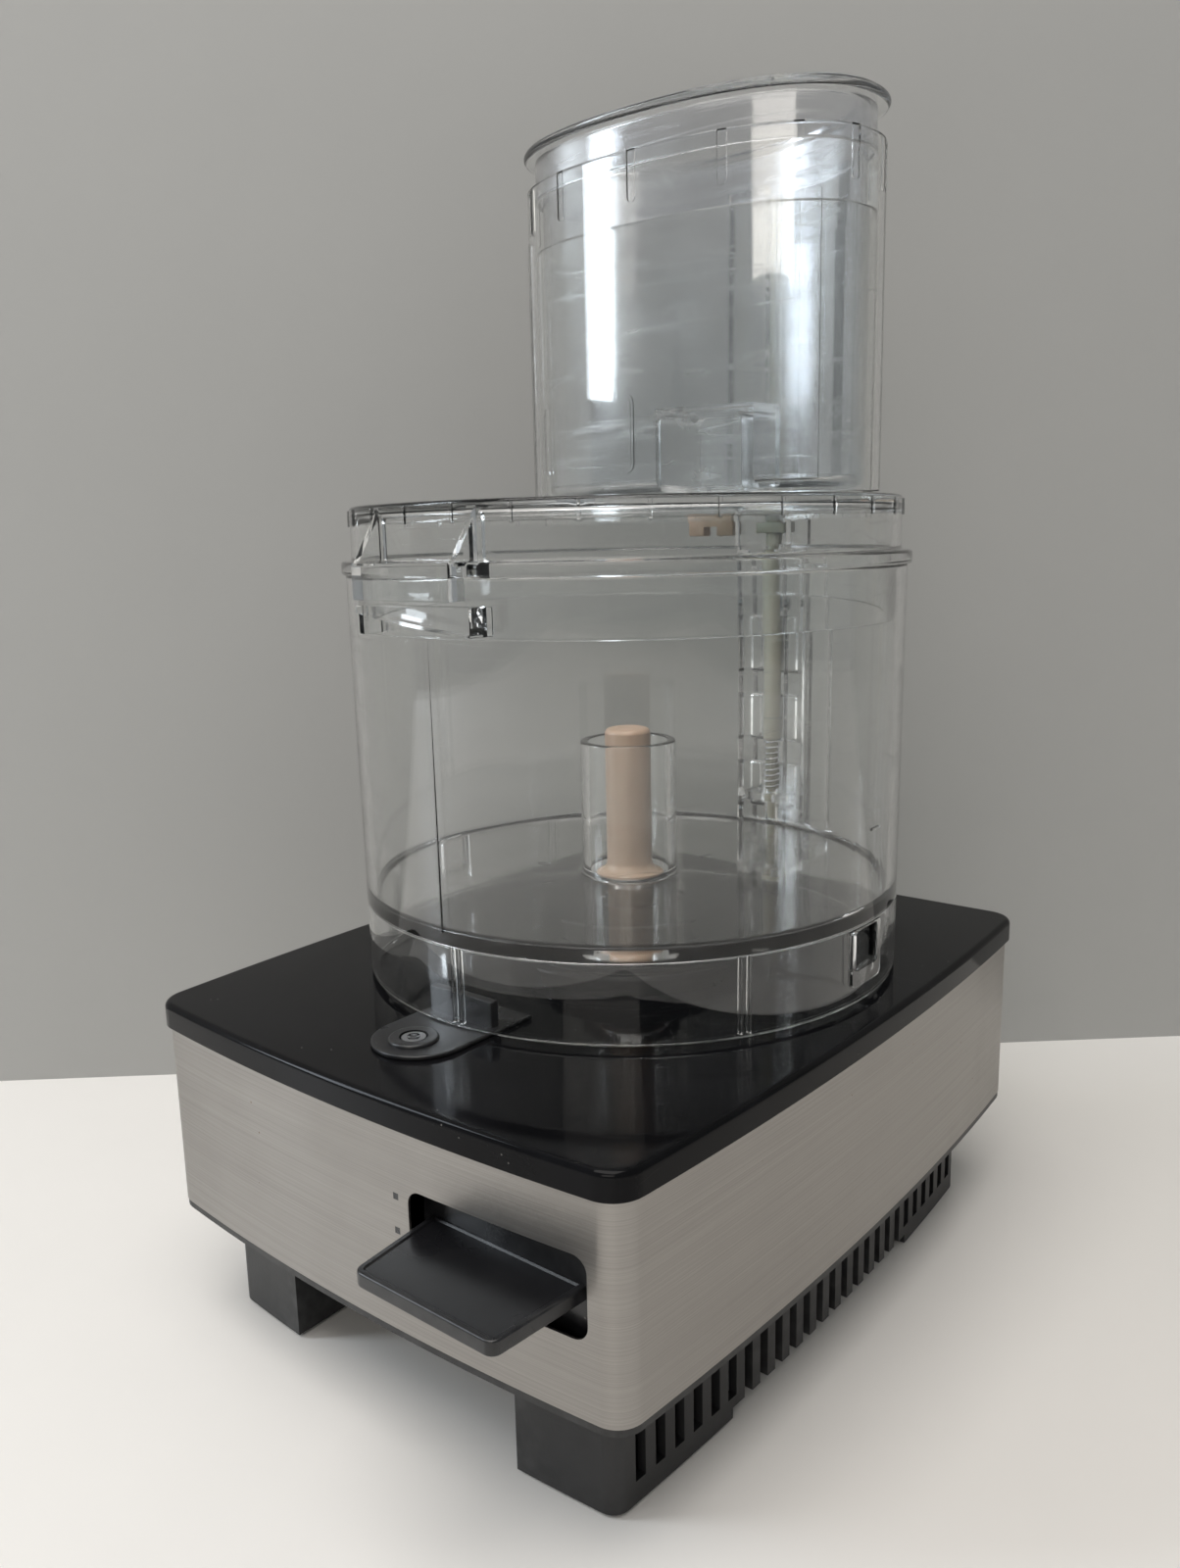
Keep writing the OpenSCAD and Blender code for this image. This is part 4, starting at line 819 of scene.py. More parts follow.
class Base:
    """The steel wrap, the gloss cover, the comb housing and what closes them."""

    window_x = 51.5
    window_z = 69.0

    def build(self) -> None:
        """Makes every outside piece of the base."""
        self.steel_wrap()
        self.index_marks()
        self.top_cover()
        self.latch_clip()
        for name, slot, edge in (
            ("bottom_housing", "housing_black", 0.35), ("rear_panel", "housing_black", 0.3),
            ("rubber_feet", "rubber", 0.3), ("housing_screws", "fastener", 0.15),
            ("latch_screws", "fastener", 0.22), ("cord_gland", "rubber", 0.3),
        ):
            weigh_normals(dressed_copy(name, slot, edge))

    def steel_wrap(self) -> None:
        """The brushed sheet, open at the rear, with the lever's window."""
        sheet, corner = 0.8, 8.0
        bm = loft([PLAN.loop(0, corner, H.steel_low), PLAN.loop(0, corner, H.steel_top),
                   PLAN.loop(sheet, corner - sheet, H.steel_top), PLAN.loop(sheet, corner - sheet, H.steel_low)], ring=True)
        rear = block((-79, 97, H.steel_low - 1), (79, 117, H.steel_top + 1))
        window = prism(rounded_box_outline(54.7, 21.3), 4.0, -15, 15, segments=8)
        moved(turned(window, 90, "X"), self.window_x, -120, self.window_z)
        bm = carve(bm, [rear, window])
        worn_edges(bm, 0.2, over=60)
        weigh_normals(hand_over(bm, "brushed_wrap", Post("base", "steel", ("steel_wrap",))))

    def index_marks(self) -> None:
        """Three small printed squares beside the lever's window."""
        marks = []
        for z in (76.4, 66.9, 57.3):
            mark = block((-0.9, -0.02, z - 0.9), (0.9, 0.05, z + 0.9))
            lean = math.degrees(math.asin(19.8 / PLAN.front_radius))
            marks.append(moved(turned(mark, lean), 19.8, PLAN.front_y(19.8)))
        hand_over(gathered(marks), "index_marks", Post("base", "lever_black"))

    def top_cover(self) -> None:
        """The gloss cover with its rolled edge, and the dome and neck that the bowl stands over."""
        roll = 1.8
        section = [(3.0, 100.0), (-0.2, 100.0), (-0.2, 95.6), (-0.4, 95.4), (-1.2, 95.4), (-1.4, 95.6)]
        section += [(0.4 - roll * math.cos(t), 101.2 + roll * math.sin(t)) for t in [math.pi / 2 * i / 7 for i in range(8)]]
        section += [(1.4, H.cover_top), (9.0, H.cover_top)]
        plate = loft([PLAN.loop(d, max(8.0 - d, 0.6), z) for d, z in section])
        plate = carve(plate, [drum(4.1, 90, 110, centre=(0, H.rod_y))])
        dome = lathe([(34, 102), (40.6, 102), (40, 109), (37, 109), (37, 111), (30, 111), (30, 118), (neck_radius(), 118),
                      (neck_radius(), 126.4), (6.0, 126.4), (6.0, 112), (26, 105)], [0, 0, 1.6, 0.5, 1, 0.5, 1.4, 1.2, 0.6, 0.4, 0, 0], 128)
        posts = [drum(5.2, 60.2, 100.5, 0.3, (x, y)) for x in (-62, 62) for y in (-48, 66)]
        bosses = [drum(7.0, 89.0, 100.5, 0.3, (x, y)) for x in (-35, 35) for y in (-35, 35)]
        rib = loft([PLAN.loop(0.95, 7, 88.4), PLAN.loop(0.95, 7, 100.5), PLAN.loop(3.35, 4.6, 100.5), PLAN.loop(3.35, 4.6, 88.4)], ring=True)
        guide = lathe([(4.1, 91), (6.1, 91), (6.1, 100.5), (4.1, 100.5)], 0.2, 48)
        whole = gathered([plate, dome, *posts, *bosses, rib, moved(guide, y=H.rod_y)])
        weigh_normals(hand_over(whole, "gloss_cover", Post("base", "cover_black", ("top_cover",))))

    def latch_clip(self) -> None:
        """The plastic tongue that holds the bowl, with its raised screw boss."""
        z = H.cover_top
        tongue = [(14 * math.cos(math.radians(a)), -95 + 14 * math.sin(math.radians(a))) for a in range(180, 361, 7)]
        outline = [*tongue, (14, -65), (-14, -65)]
        plate = prism(outline, 0.0, z, z + 1.4, rim=0.5)
        boss = drum(7.0, z, z + 2.4, 0.7, (0, -98), 64)
        web = block((-12, -79, z + 0.4), (12, -76, z + 9), 0.6)
        whole = carve(plate, [boss, web], "UNION")
        holes = [drum(4.0, z + 0.8, z + 5, 0, (0, -98), 48), drum(1.8, z - 1, z + 5, 0, (0, -98)), drum(1.8, z - 1, z + 5, 0, (0, -71))]
        whole = carve(whole, holes)
        weigh_normals(hand_over(whole, "latch_tongue", Post("base", "lever_black", ("bowl_latch_clip",))))


def neck_radius() -> float:
    """Radius of the cover's neck round the shaft."""
    return 11.4


class Lever:
    """The control lever: a curved shield behind the window and a tapered paddle."""

    pivot = Vector((51.5, -62.0, 69.0))

    def build(self) -> None:
        """Makes the lever and its pin."""
        hand_over(self._shield(), "lever_shield", Post("lever", "lever_black", ("control_lever",)))
        weigh_normals(hand_over(self._paddle(), "lever_paddle", Post("lever", "lever_black")))
        hand_over(self._arms(), "lever_arms", Post("lever", "lever_black"))
        weigh_normals(dressed_copy("lever_pin", "fastener", 0.3))

    def _shield(self) -> bmesh.types.BMesh:
        """The curved sheet behind the window, round the pivot."""
        shield_r, sheet, half_height, half_width = 56.5, 2.0, 17.0, 28.25
        reach = math.asin(half_height / shield_r)
        turns = [reach * (i / 12 - 1) for i in range(25)]
        outer = [(-shield_r * math.cos(t), shield_r * math.sin(t)) for t in turns]
        inner = [(-(shield_r - sheet) * math.cos(t), (shield_r - sheet) * math.sin(t)) for t in reversed(turns)]
        loops = [[self.pivot + Vector((x, y, z)) for y, z in outer + inner] for x in (-half_width, half_width)]
        bm = loft(loops)
        ends = [e for e in bm.edges if e.calc_face_angle(0.0) > math.radians(50)]
        bmesh.ops.bevel(bm, geom=ends, offset=0.35, offset_type="OFFSET", affect="EDGES", segments=2, profile=0.5,
                        material=-1, clamp_overlap=True)
        return bm

    def _paddle(self) -> bmesh.types.BMesh:
        """The paddle, with a low rim round its upper face."""
        tip, back, front = 84.7, 25.25, 21.95
        outline = [(-back, -55.5), (back, -55.5), (back - 0.6, -61.5), (front + 0.6, -tip),
                   (-front - 0.6, -tip), (-back + 0.6, -61.5)]
        bm = prism(outline, [0, 0, 3, 2.6, 2.6, 3], -2.0, 2.0, segments=5)
        flat = [f for f in bm.faces if abs(f.normal.z) > 0.9]
        bmesh.ops.bevel(bm, geom=list({e for f in flat for e in f.edges}), offset=0.6, offset_type="OFFSET",
                        affect="EDGES", segments=3, profile=0.5, material=-1, clamp_overlap=True)
        top = [f for f in bm.faces if f.normal.z > 0.99]
        bmesh.ops.inset_region(bm, faces=top, thickness=0.9, depth=0.0, use_even_offset=True)
        bmesh.ops.inset_region(bm, faces=top, thickness=0.5, depth=-0.4, use_even_offset=True)
        return moved(bm, *self.pivot)

    def _arms(self) -> bmesh.types.BMesh:
        """The two arms back to the pin, their eyes and the rail that drives the slider."""
        parts = []
        for x in (-17.5, 17.5):
            parts.append(moved(block((x - 2, -55.7, -5), (x + 2, 0.8, 5), 0.4), *self.pivot))
            eye = lathe([(2.56, -2), (5.5, -2), (5.5, 2), (2.56, 2)], 0.3, 40)
            parts.append(moved(turned(eye, 90, "Y"), self.pivot.x + x, self.pivot.y, self.pivot.z))
        rail = turned(drum(1.5, -17.5, 17.5, 0.2), 90, "Y")
        parts.append(moved(rail, self.pivot.x, self.pivot.y - 28, self.pivot.z))
        return gathered(parts)


class Motor:
    """Everything inside the base that turns, drives or switches."""

    def build(self) -> None:
        """Makes the inside pieces."""
        for name, slot, edge in (
            ("control_switch", "switch_grey", 0.4), ("switch_slider", "ivory", 0.2), ("stator_core", "lamination", 0.25),
            ("lower_motor_bracket", "alloy", 0.3), ("upper_motor_bracket", "alloy", 0.3),
            ("lower_bush", "bronze", 0.3), ("upper_bush", "bronze", 0.3), ("motor_bolts", "fastener", 0.25),
            ("motor_grommets", "rubber", 0.3), ("rotor_core", "lamination", 0.3), ("rotor_end_rings", "alloy", 0.25),
            ("cooling_fan", "ivory", 0.12), ("shaft_seal", "rubber", 0.2), ("run_capacitor", "capacitor_can", 0.4),
            ("capacitor_strap", "housing_black", 0.15), ("interlock_switch", "switch_grey", 0.3),
            ("interlock_plunger", "ivory", 0.2),
        ):
            weigh_normals(dressed_copy(name, slot, edge))
        self.windings()
        self.shaft_and_sheath()
        spring = coil(4.4, 0.8, 75.1, 81.9, 3)
        piece = hand_over(moved(spring, y=H.rod_y), "interlock_spring", Post("plunger", "spring_wire", ("plunger_spring",)), 80)
        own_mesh(piece)

    def windings(self) -> None:
        """Copper bundles over both ends of the stator, lying in bundles round the bore."""
        parts = []
        for low in (23.0, 70.0):
            ring = lathe([(27, low + 0.1), (38, low + 0.1), (38, low + 10.9), (27, low + 10.9)], 3.5, 240, segments=5)
            for vert in ring.verts:
                turn = math.atan2(vert.co.y, vert.co.x)
                swell = 0.35 * math.sin(60 * turn + vert.co.z * 1.3) - 0.45 * max(0.0, math.cos(12 * turn)) ** 8
                vert.co += swell * vert.normal
            parts.append(ring)
        for i in range(12):
            bar = drum(3.0, 31, 73, 0.4, (33, 0), 20)
            parts.append(turned(bar, 30 * i))
        hand_over(gathered(parts), "copper_windings", Post("base", "copper", ("stator_windings",)), 60)

    def shaft_and_sheath(self) -> None:
        """The steel shaft and the moulded sheath that drives the blade."""
        shaft = lathe([(0, 13), (5, 13), (5, 169.4), (4, 170.4), (0, 170.4)], [0, 0.4, 0.2, 0.2, 0], 64)
        hand_over(shaft, "drive_shaft", Post("rotor", "shaft_steel", ("motor_shaft",)))
        r, low, top = 7.35, 127.8, H.sheath_top
        flare = [(11.1 - (11.1 - r) * math.sin(math.radians(a)), low + 2.4 + 4 * (1 - math.cos(math.radians(a)))) for a in range(0, 91, 10)]
        section = [(4.85, low), (11.1, low), *flare, (r, top - 1.4), (r - 0.5, top - 0.5), (r - 1.6, top), (0, top + 0.3), (0, top - 6), (4.85, top - 6)]
        corners = [0.2, 0.5, 0.4] + [0.0] * (len(flare) - 2) + [0.0, 0.3, 0.4, 0.6, 0.0, 0.0, 0.0]
        sheath = lathe(section, corners, 96, segments=3)
        hand_over(sheath, "drive_sheath", Post("rotor", "cream", ("spindle_sheath",)), 50)


def coil(radius: float, wire: float, low: float, high: float, turns: int) -> bmesh.types.BMesh:
    """An upright coil spring of round wire with capped ends."""
    per_turn, sides = 28, 10
    count = turns * per_turn
    loops = []
    for i in range(count + 1):
        a = 2 * math.pi * i / per_turn
        z = low + wire / 2 + (high - low - wire) * i / count
        loops.append([Vector(((radius + wire / 2 * math.cos(b)) * math.cos(a), (radius + wire / 2 * math.cos(b)) * math.sin(a),
                              z + wire / 2 * math.sin(b))) for b in [2 * math.pi * j / sides for j in range(sides)]])
    return loft(loops)


# ---------------------------------------------------------------- the clear pieces


def wedge(start: float, end: float, low: float, high: float, inner: float, outer: float, steps: int = 14) -> bmesh.types.BMesh:
    """A piece of a ring round the spindle, between two angles in degrees."""
    turns = [math.radians(start + (end - start) * i / steps) for i in range(steps + 1)]
    outline = [(outer * math.cos(t), outer * math.sin(t)) for t in turns]
    outline += [(inner * math.cos(t), inner * math.sin(t)) for t in reversed(turns)]
    return prism(outline, 0.0, low, high)


def channel(half_width: float, rear: float, low: float, high: float, corner: float = 0.0) -> bmesh.types.BMesh:
    """An upright box behind the bowl, from inside its wall to the given rear."""
    outline = [(-half_width, 84.0), (half_width, 84.0), (half_width, rear), (-half_width, rear)]
    return prism(outline, [0.0, 0.0, corner, corner], low, high, rim=0.3 if corner else 0.0)


class Bowl:
    """The clear work bowl with its hub, skirt, lugs and handle channel."""

    low_r = 85.2
    rim_r = 86.1
    wall = 2.6

    def build(self) -> None:
        """Makes the bowl."""
        bm = lathe(*self._section(), steps=192, segments=3)
        bm = carve(bm, self._additions(), "UNION")
        bm = carve(bm, self._cuts())
        piece = weigh_normals(hand_over(bm, "clear_bowl", Post("bowl", "clear", ("work_bowl",)), 38))
        # The floor faces get painted shade, a darker clear tint.
        piece.data.materials.append(MATERIALS["clear_floor_painted_shade"])
        for face in piece.data.polygons:
            middle = face.center / MM
            if 126.9 < middle.z < 130.6 and 15.5 < middle.xy.length < 82.3 and abs(face.normal.z) > 0.8:
                face.material_index = 1

    def _section(self) -> tuple[list[Point], list[float]]:
        """The bowl's profile with its corner radii."""
        z, rim, floor = H.bowl_low, H.rim, H.floor_top
        inner = self.low_r - self.wall
        section = [
            (83.0, z, 0.3), (85.2, z, 0.6), (self.rim_r, rim, 0.7), (self.rim_r - self.wall, rim, 0.7),
            (inner, floor, 2.4), (15.4, floor, 2.0), (15.4, H.hub_top, 0.7), (12.8, H.hub_top, 0.7),
            (12.8, floor - 3.1, 0.4), (inner, floor - 3.1, 0.8), (83.0, z + 12, 1.0),
        ]
        return [(r, h) for r, h, _ in section], [c for *_, c in section]

    def _additions(self) -> list[bmesh.types.BMesh]:
        """Ribs, lugs, marks and the handle channel."""
        parts = []
        for middle in (-88, -31, 29, 149, 209):
            for side in (-0.9, 0.9):
                rib = block((self.low_r - 3.6, -0.5, H.bowl_low + 0.4), (self.low_r - 1.8, 0.5, 127.0), 0.15)
                parts.append(turned(rib, middle + side))
        outer_rib = prism([(0, -0.45), (0.75, -0.2), (0.75, 0.2), (0, 0.45)], 0.0, H.floor_top + 1, 213.0)
        parts.append(turned(moved(outer_rib, self.rim_r - 0.85), -90))
        ramp = wedge(-103.5, -77, 214.0, 221.2, self.rim_r - 1.5, 93.6)
        for vert in ramp.verts:
            if vert.co.z < 215:
                vert.co.z = 219.2 - 5.6 * (vert.co.x + 22) / 43
        parts.append(ramp)
        for x in (-21.6, 17.8):
            parts.append(block((x, -90.4, 213.4), (x + 2, -80.5 if x > 0 else -79.4, 221.0), 0.3))
        for k in range(8):
            mark = block((28.0, -0.45, H.floor_top - 0.6), (32.0, 0.45, H.floor_top + 0.35), 0.12)
            parts.append(turned(mark, 22.5 + 45 * k))
        parts.append(self._window_frame(0))
        parts.append(self._window_frame(180))
        dash = block((self.rim_r - 1.6, -0.4, 154.6), (self.rim_r + 0.05, 4.4, 155.4), 0.15)
        parts.append(turned(dash, 0.6))
        box = channel(11.0, 101.0, 106.6, 226.6, 3.0)
        parts.append(carve(box, [drum(84.0, 100, 235, 0, steps=192)]))
        return parts

    def _window_frame(self, angle: float) -> bmesh.types.BMesh:
        """The moulded frame round a locking window."""
        frame_low, frame_high, half = 110.0, 127.2, 8.6
        plate = prism([(-half, frame_low), (half, frame_low), (half, frame_high), (-half, frame_high)], [2.0, 2.0, 0.6, 0.6], -0.7, 0.7)
        turned(turned(plate, 90, "X"), 90, "Z")
        return turned(moved(plate, self.low_r - 0.25), angle)

    def _cuts(self) -> list[bmesh.types.BMesh]:
        """The channel's hollow, the rod's holes, its side slots and the locking windows."""
        cuts = []
        for low, high in ((109.6, 137.6), (140.6, 224.2)):
            hollow = channel(8.8, 98.8, low, high, 1.6)
            cuts.append(carve(hollow, [drum(self.rim_r + 0.1, 100, 235, 0, steps=192)]))
        cuts.append(drum(2.8, 103, 141.6, 0, (0, H.rod_y), 40))
        cuts.append(drum(3.9, 223.0, 229.2, 0, (0, H.rod_y), 40))
        for tier in range(3):
            slot = prism(rounded_box_outline(18, 4), 1.95, -14, 14, segments=6)
            cuts.append(moved(turned(slot, 90, "Y"), 0, 94.5, 142.6 + 26 * tier))
        for angle in (0, 180):
            window = prism(rounded_box_outline(12, 13.4), 1.2, -6, 6)
            cuts.append(turned(moved(turned(window, 90, "Y"), self.low_r, 0, 120.6), angle))
        return cuts


class Handle:
    """The bowl's handle cover, its screws and the safety rod with its spring."""

    def build(self) -> None:
        """Makes the handle's pieces."""
        low, high = 111.6, 225.2
        outline = [(-14, 98.4), (14, 98.4), (14, 123), (-14, 123)]
        cover = prism(outline, [1.0, 1.0, 7.0, 7.0], low, high, rim=2.0, segments=8)
        hollow = prism([(-11.4, 97.0), (11.4, 97.0), (11.4, 120.4), (-11.4, 120.4)], [0, 0, 5.0, 5.0], low + 4.5, high - 4.5, rim=1.0, segments=8)
        room = block((-11.15, 90, low - 2), (11.15, 101.15, high + 2))
        holes = [turned(drum(1.7, -6, 6), 90, "X") for _ in range(2)]
        for hole, z in zip(holes, (low + 10, high - 10)):
            moved(hole, 0, 103, z)
        bm = carve(cover, [hollow])
        bm = carve(bm, [room, *holes])
        weigh_normals(hand_over(bm, "clear_handle", Post("bowl", "clear", ("handle_cover",)), 38))
        weigh_normals(dressed_copy("handle_screws", "fastener", 0.2))
        self._rod()

    def _rod(self) -> None:
        """The safety rod with its ribbed foot, and its spring."""
        section = [(0, 106.5), (2.4, 106.5), (2.4, 160.6), (3.4, 160.6), (3.4, 227.0), (0, 227.0)]
        rod = moved(lathe(section, [0, 0.5, 0.2, 0.3, 0.5, 0], 48), y=H.rod_y)
        hand_over(rod, "safety_rod", Post("rod", "ivory", ("activating_rod",)))
        spring = moved(coil(3.1, 0.6, 140.6, 160.5, 9), y=H.rod_y)
        piece = hand_over(spring, "return_spring", Post("rod", "spring_wire", ("rod_spring",)), 80)
        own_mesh(piece)


class Lid:
    """The clear lid with its feed tube, front lug, ribs and rear box."""

    flange_r = 87.3
    wall_r = 84.1
    skirt_r = 82.8

    def build(self) -> None:
        """Makes the lid, the cap of its rear box and the actuator."""
        bm = lathe(*self._section(), steps=192, segments=3)
        tube_a, tube_b = 59.9, 32.0
        opening = oval_skin(tube_a - 2.2, tube_b - 2.2, [(0, 200), (0, 260)], ring=False)
        bm = carve(bm, [opening])
        bm = carve(bm, self._additions(tube_a, tube_b), "UNION")
        bm = carve(bm, self._cuts())
        lid = weigh_normals(hand_over(bm, "clear_lid", Post("lid", "clear", ("bowl_cover",)), 38))
        # Painted shade on the lid's thick outer edge.
        self._paint_edge_shade(lid)
        cap = channel(12.0, 101.0, 247.0, 248.6, 1.5)
        cap = carve(cap, [drum(self.wall_r + 0.3, 240, 260, 0, steps=128), drum(3.6, 240, 260, 0, (0, H.rod_y), 32)])
        weigh_normals(hand_over(cap, "rear_cap", Post("lid", "ivory", ("actuator_cap",))))
        catch = carve(block((-33, 83.6, 236.5), (-13, 88.4, 247.4), 0.6), [block((-26, 82, 235), (-20, 90, 240), 0.3)])
        hand_over(catch, "rear_catch", Post("lid", "cream"))
        stem = moved(lathe([(0, 228.3), (3.0, 228.3), (3.0, 249.4), (0, 249.4)], [0, 0.4, 0.6, 0], 40), y=H.rod_y)
        shoe = block((-6, 89.0, 237.2), (6, 96.2, 241.2), 0.5)
        hand_over(gathered([stem, shoe]), "lid_plunger", Post("actuator", "ivory", ("lid_actuator",)))

    def _paint_edge_shade(self, lid: bpy.types.Object) -> None:
        """Paints shade on the thick outer edge of the lid's top: a dark tint that stands in for the darker look of
        thick clear plastic.
        """
        lid.data.materials.append(MATERIALS["clear_edge_painted_shade"])
        for face in lid.data.polygons:
            middle = face.center / MM
            if middle.z > 244.2 and 79.5 < middle.xy.length < 84.3:
                face.material_index = 1

    def _section(self) -> tuple[list[Point], list[float]]:
        """The lid's profile with its corner radii."""
        z, top = H.rim, H.lid_top
        section = [
            (0.0, top, 0), (0.0, top - 2.4, 0), (80.3, top - 2.4, 1.2), (81.7, top - 4.4, 1.2), (81.7, z + 3.0, 0.8),
            (80.8, z - 15.4, 0.8), (80.8, z - 16, 0.3), (self.skirt_r, z - 16, 0.6), (self.skirt_r, z, 0.2), (self.flange_r, z, 0.7),
            (self.flange_r, z + 4.1, 1.1), (self.wall_r, z + 4.1, 0.9), (self.wall_r, top, 1.1),
        ]
        return [(r, h) for r, h, _ in section], [c for *_, c in section]

    def _additions(self, tube_a: float, tube_b: float) -> list[bmesh.types.BMesh]:
        """The feed tube, the lug with its gussets, the short ribs and the rear box."""
        tube = oval_skin(tube_a, tube_b, [(0, 241.6), *arc(-0.7, H.tube_top - 0.7, 0.7, 0, 90, 3), *arc(-1.5, H.tube_top - 0.7, 0.7, 90, 180, 3), (-2.2, 241.6)])
        parts = [tube]
        z = H.rim
        lug = wedge(-104.2, -80.6, 222.6, z + 4.1, 83.4, 93.6)
        parts.append(carve(lug, [drum(86.6, 200, z, 0, steps=192)]))
        for x in (-23.4, 13.2):
            profile = [(-90.2, z + 3.2), (-79.6, 247.6), (-77.6, 247.6), (-77.6, z + 3.2)]
            gusset = prism(profile, [0.2, 0.8, 0, 0], 0, 2.0)
            turned(turned(gusset, 90, "X"), 90, "Z")
            parts.append(moved(gusset, x))
        for k in range(30):
            rib = block((self.wall_r - 0.6, -0.5, 242.2), (self.wall_r + 0.55, 0.5, 247.0), 0.2)
            parts.append(turned(rib, 12 * k))
        box = channel(12.0, 101.0, 229.2, 247.0, 1.5)
        parts.append(carve(box, [drum(self.wall_r - 1, 200, 260, 0, steps=192)]))
        return parts

    def _cuts(self) -> list[bmesh.types.BMesh]:
        """The rear box's hollow, the rod's hole and the notch in the lug."""
        hollow = channel(10.0, 99.0, 231.2, 248.0)
        hollow = carve(hollow, [drum(self.wall_r + 0.2, 200, 260, 0, steps=192)])
        return [hollow, drum(3.4, 228, 232.5, 0, (0, H.rod_y), 40), block((15.6, -90.6, 228.8), (18.8, -78.6, 231.8), 0.2)]


class Sleeve:
    """The clear outer sleeve of the pusher, with its rear column, push rod and retainer."""

    a = 62.7
    b = 34.8
    wall = 2.2

    def build(self) -> None:
        """Makes the sleeve and what slides in its column."""
        low, top = H.sleeve_low, H.sleeve_top
        rim = [*arc(-0.8, top - 0.8, 0.8, 0, 90, 4), *arc(-self.wall + 0.8, top - 0.8, 0.8, 90, 180, 4)]
        foot = [*arc(-self.wall + 0.6, low + 0.6, 0.6, 180, 270, 3), *arc(-0.6, low + 0.6, 0.6, 270, 360, 3)]
        bm = oval_skin(self.a, self.b, [*rim, *foot])
        column = prism([(-8.5, 70.4), (8.5, 70.4), (8.5, 99.1), (-8.5, 99.1)], [0, 0, 2.0, 2.0], low, top, rim=0.4)
        inside = oval_skin(self.a - self.wall + 0.3, self.b - self.wall + 0.3, [(0, 240), (0, 360)], ring=False)
        bm = carve(bm, [carve(column, [inside]), *self._rails()], "UNION")
        bm = carve(bm, self._cuts())
        piece = weigh_normals(hand_over(bm, "clear_sleeve", Post("sleeve", "clear", ("pusher_sleeve",)), 38))
        # The far upright strip gets painted shade: the dark clear tint on its faces.
        piece.data.materials.append(MATERIALS["clear_edge_painted_shade"])
        for face in piece.data.polygons:
            middle = face.center / MM
            if 40.2 < middle.x < 45.8 and middle.y > TUBE_MIDDLE and 279 < middle.z < 336:
                face.material_index = 1
        self._rod()

    def _rails(self) -> list[bmesh.types.BMesh]:
        """Low upright rails moulded at the sleeve's ends."""
        rails = []
        for x in (-58.5, -53.0, 46.0, 51.5, 56.0):
            foot = oval_near(self.a, self.b, x)
            rail = block((-0.7, -0.45, H.sleeve_low + 2), (0.7, 1.0, H.sleeve_top - 17), 0.2)
            lean = math.degrees(math.atan2(foot.y - oval_near(self.a, self.b, x - 1).y, 1.0))
            rails.append(moved(turned(rail, lean), foot.x, foot.y))
        strip = oval_near(self.a, self.b, 43.0)
        lean = math.degrees(math.atan2(strip.y - oval_near(self.a, self.b, 42.0).y, 1.0))
        bar = block((-2.6, -0.9, 280.0), (2.6, 0.5, 335.0), 0.2)
        rails.append(moved(turned(bar, -lean), strip.x, 2 * TUBE_MIDDLE - strip.y))
        rails.append(self._panel(-44.0, 0.0, 257.0, 281.0, False))
        rails.append(self._panel(-30.0, 34.0, 268.0, 322.0, True))
        return rails

    def _panel(self, left: float, right: float, low: float, high: float, far: bool) -> bmesh.types.BMesh:
        """A low raised outline on the sleeve's near or far side."""
        middle, width, height = ((left + right) / 2, (low + high) / 2), right - left, high - low
        frames = []
        for trim in (0.0, 1.1):
            frame = prism(rounded_box_outline(width - 2 * trim, height - 2 * trim), 3.0 - trim, -20 - trim, 20 + trim)
            frames.append(moved(turned(frame, 90, "X"), middle[0], TUBE_MIDDLE + (35 if far else -35), middle[1]))
        outline = carve(frames[0], [frames[1]])
        shell = oval_skin(self.a, self.b, [(-0.4, 240), (0.4, 240), (0.4, 360), (-0.4, 360)])
        return carve(outline, [shell], "INTERSECT")

    def _cuts(self) -> list[bmesh.types.BMesh]:
        """The column's hollow, the push rod's hole and grooves round the top edge."""
        low, top = H.sleeve_low, H.sleeve_top
        hollow = prism([(-6.5, 70.4), (6.5, 70.4), (6.5, 97.1), (-6.5, 97.1)], [0, 0, 1.2, 1.2], low - 1, top - 2)
        outside = oval_skin(self.a + 0.1, self.b + 0.1, [(0, 240), (0, 360)], ring=False)
        cuts = [carve(hollow, [outside]), drum(3.7, top - 8, top + 1, 0, (0, H.rod_y), 40)]
        for k in range(14):
            t = 2 * math.pi * (k + 0.5) / 14
            spot = oval_loop(self.a, self.b, 0.0, 14 * 16)[int((k + 0.5) * 16)]
            ahead = oval_loop(self.a, self.b, 0.0, 14 * 16)[int((k + 0.5) * 16) + 1]
            if abs(spot.x) < 12 and spot.y > TUBE_MIDDLE:
                continue
            lean = math.degrees(math.atan2(ahead.y - spot.y, ahead.x - spot.x))
            groove = prism([(-1.5, top - 15), (1.5, top - 15), (1.5, top + 2), (-1.5, top + 2)], [1.45, 1.45, 0, 0], -0.7, 0.7, segments=6)
            turned(groove, 90, "X")
            log.debug("groove %d at %.2f", k, t)
            cuts.append(moved(turned(groove, lean), spot.x, spot.y))
        return cuts

    def _rod(self) -> None:
        """The push rod with its collar, and the retainer under it."""
        section = [(0, 250.6), (3.4, 250.6), (3.4, 251.6), (4.3, 251.6), (4.3, 255.6), (3.4, 255.6), (3.4, 350.0), (0, 350.0)]
        rod = moved(lathe(section, [0, 0.4, 0.1, 0.3, 0.3, 0.1, 0.8, 0], 48), y=H.rod_y)
        hand_over(rod, "push_rod", Post("sleeve", "ivory", ("sleeve_push_rod",)))
        weigh_normals(dressed_copy("rod_retainer", "ivory", 0.25))


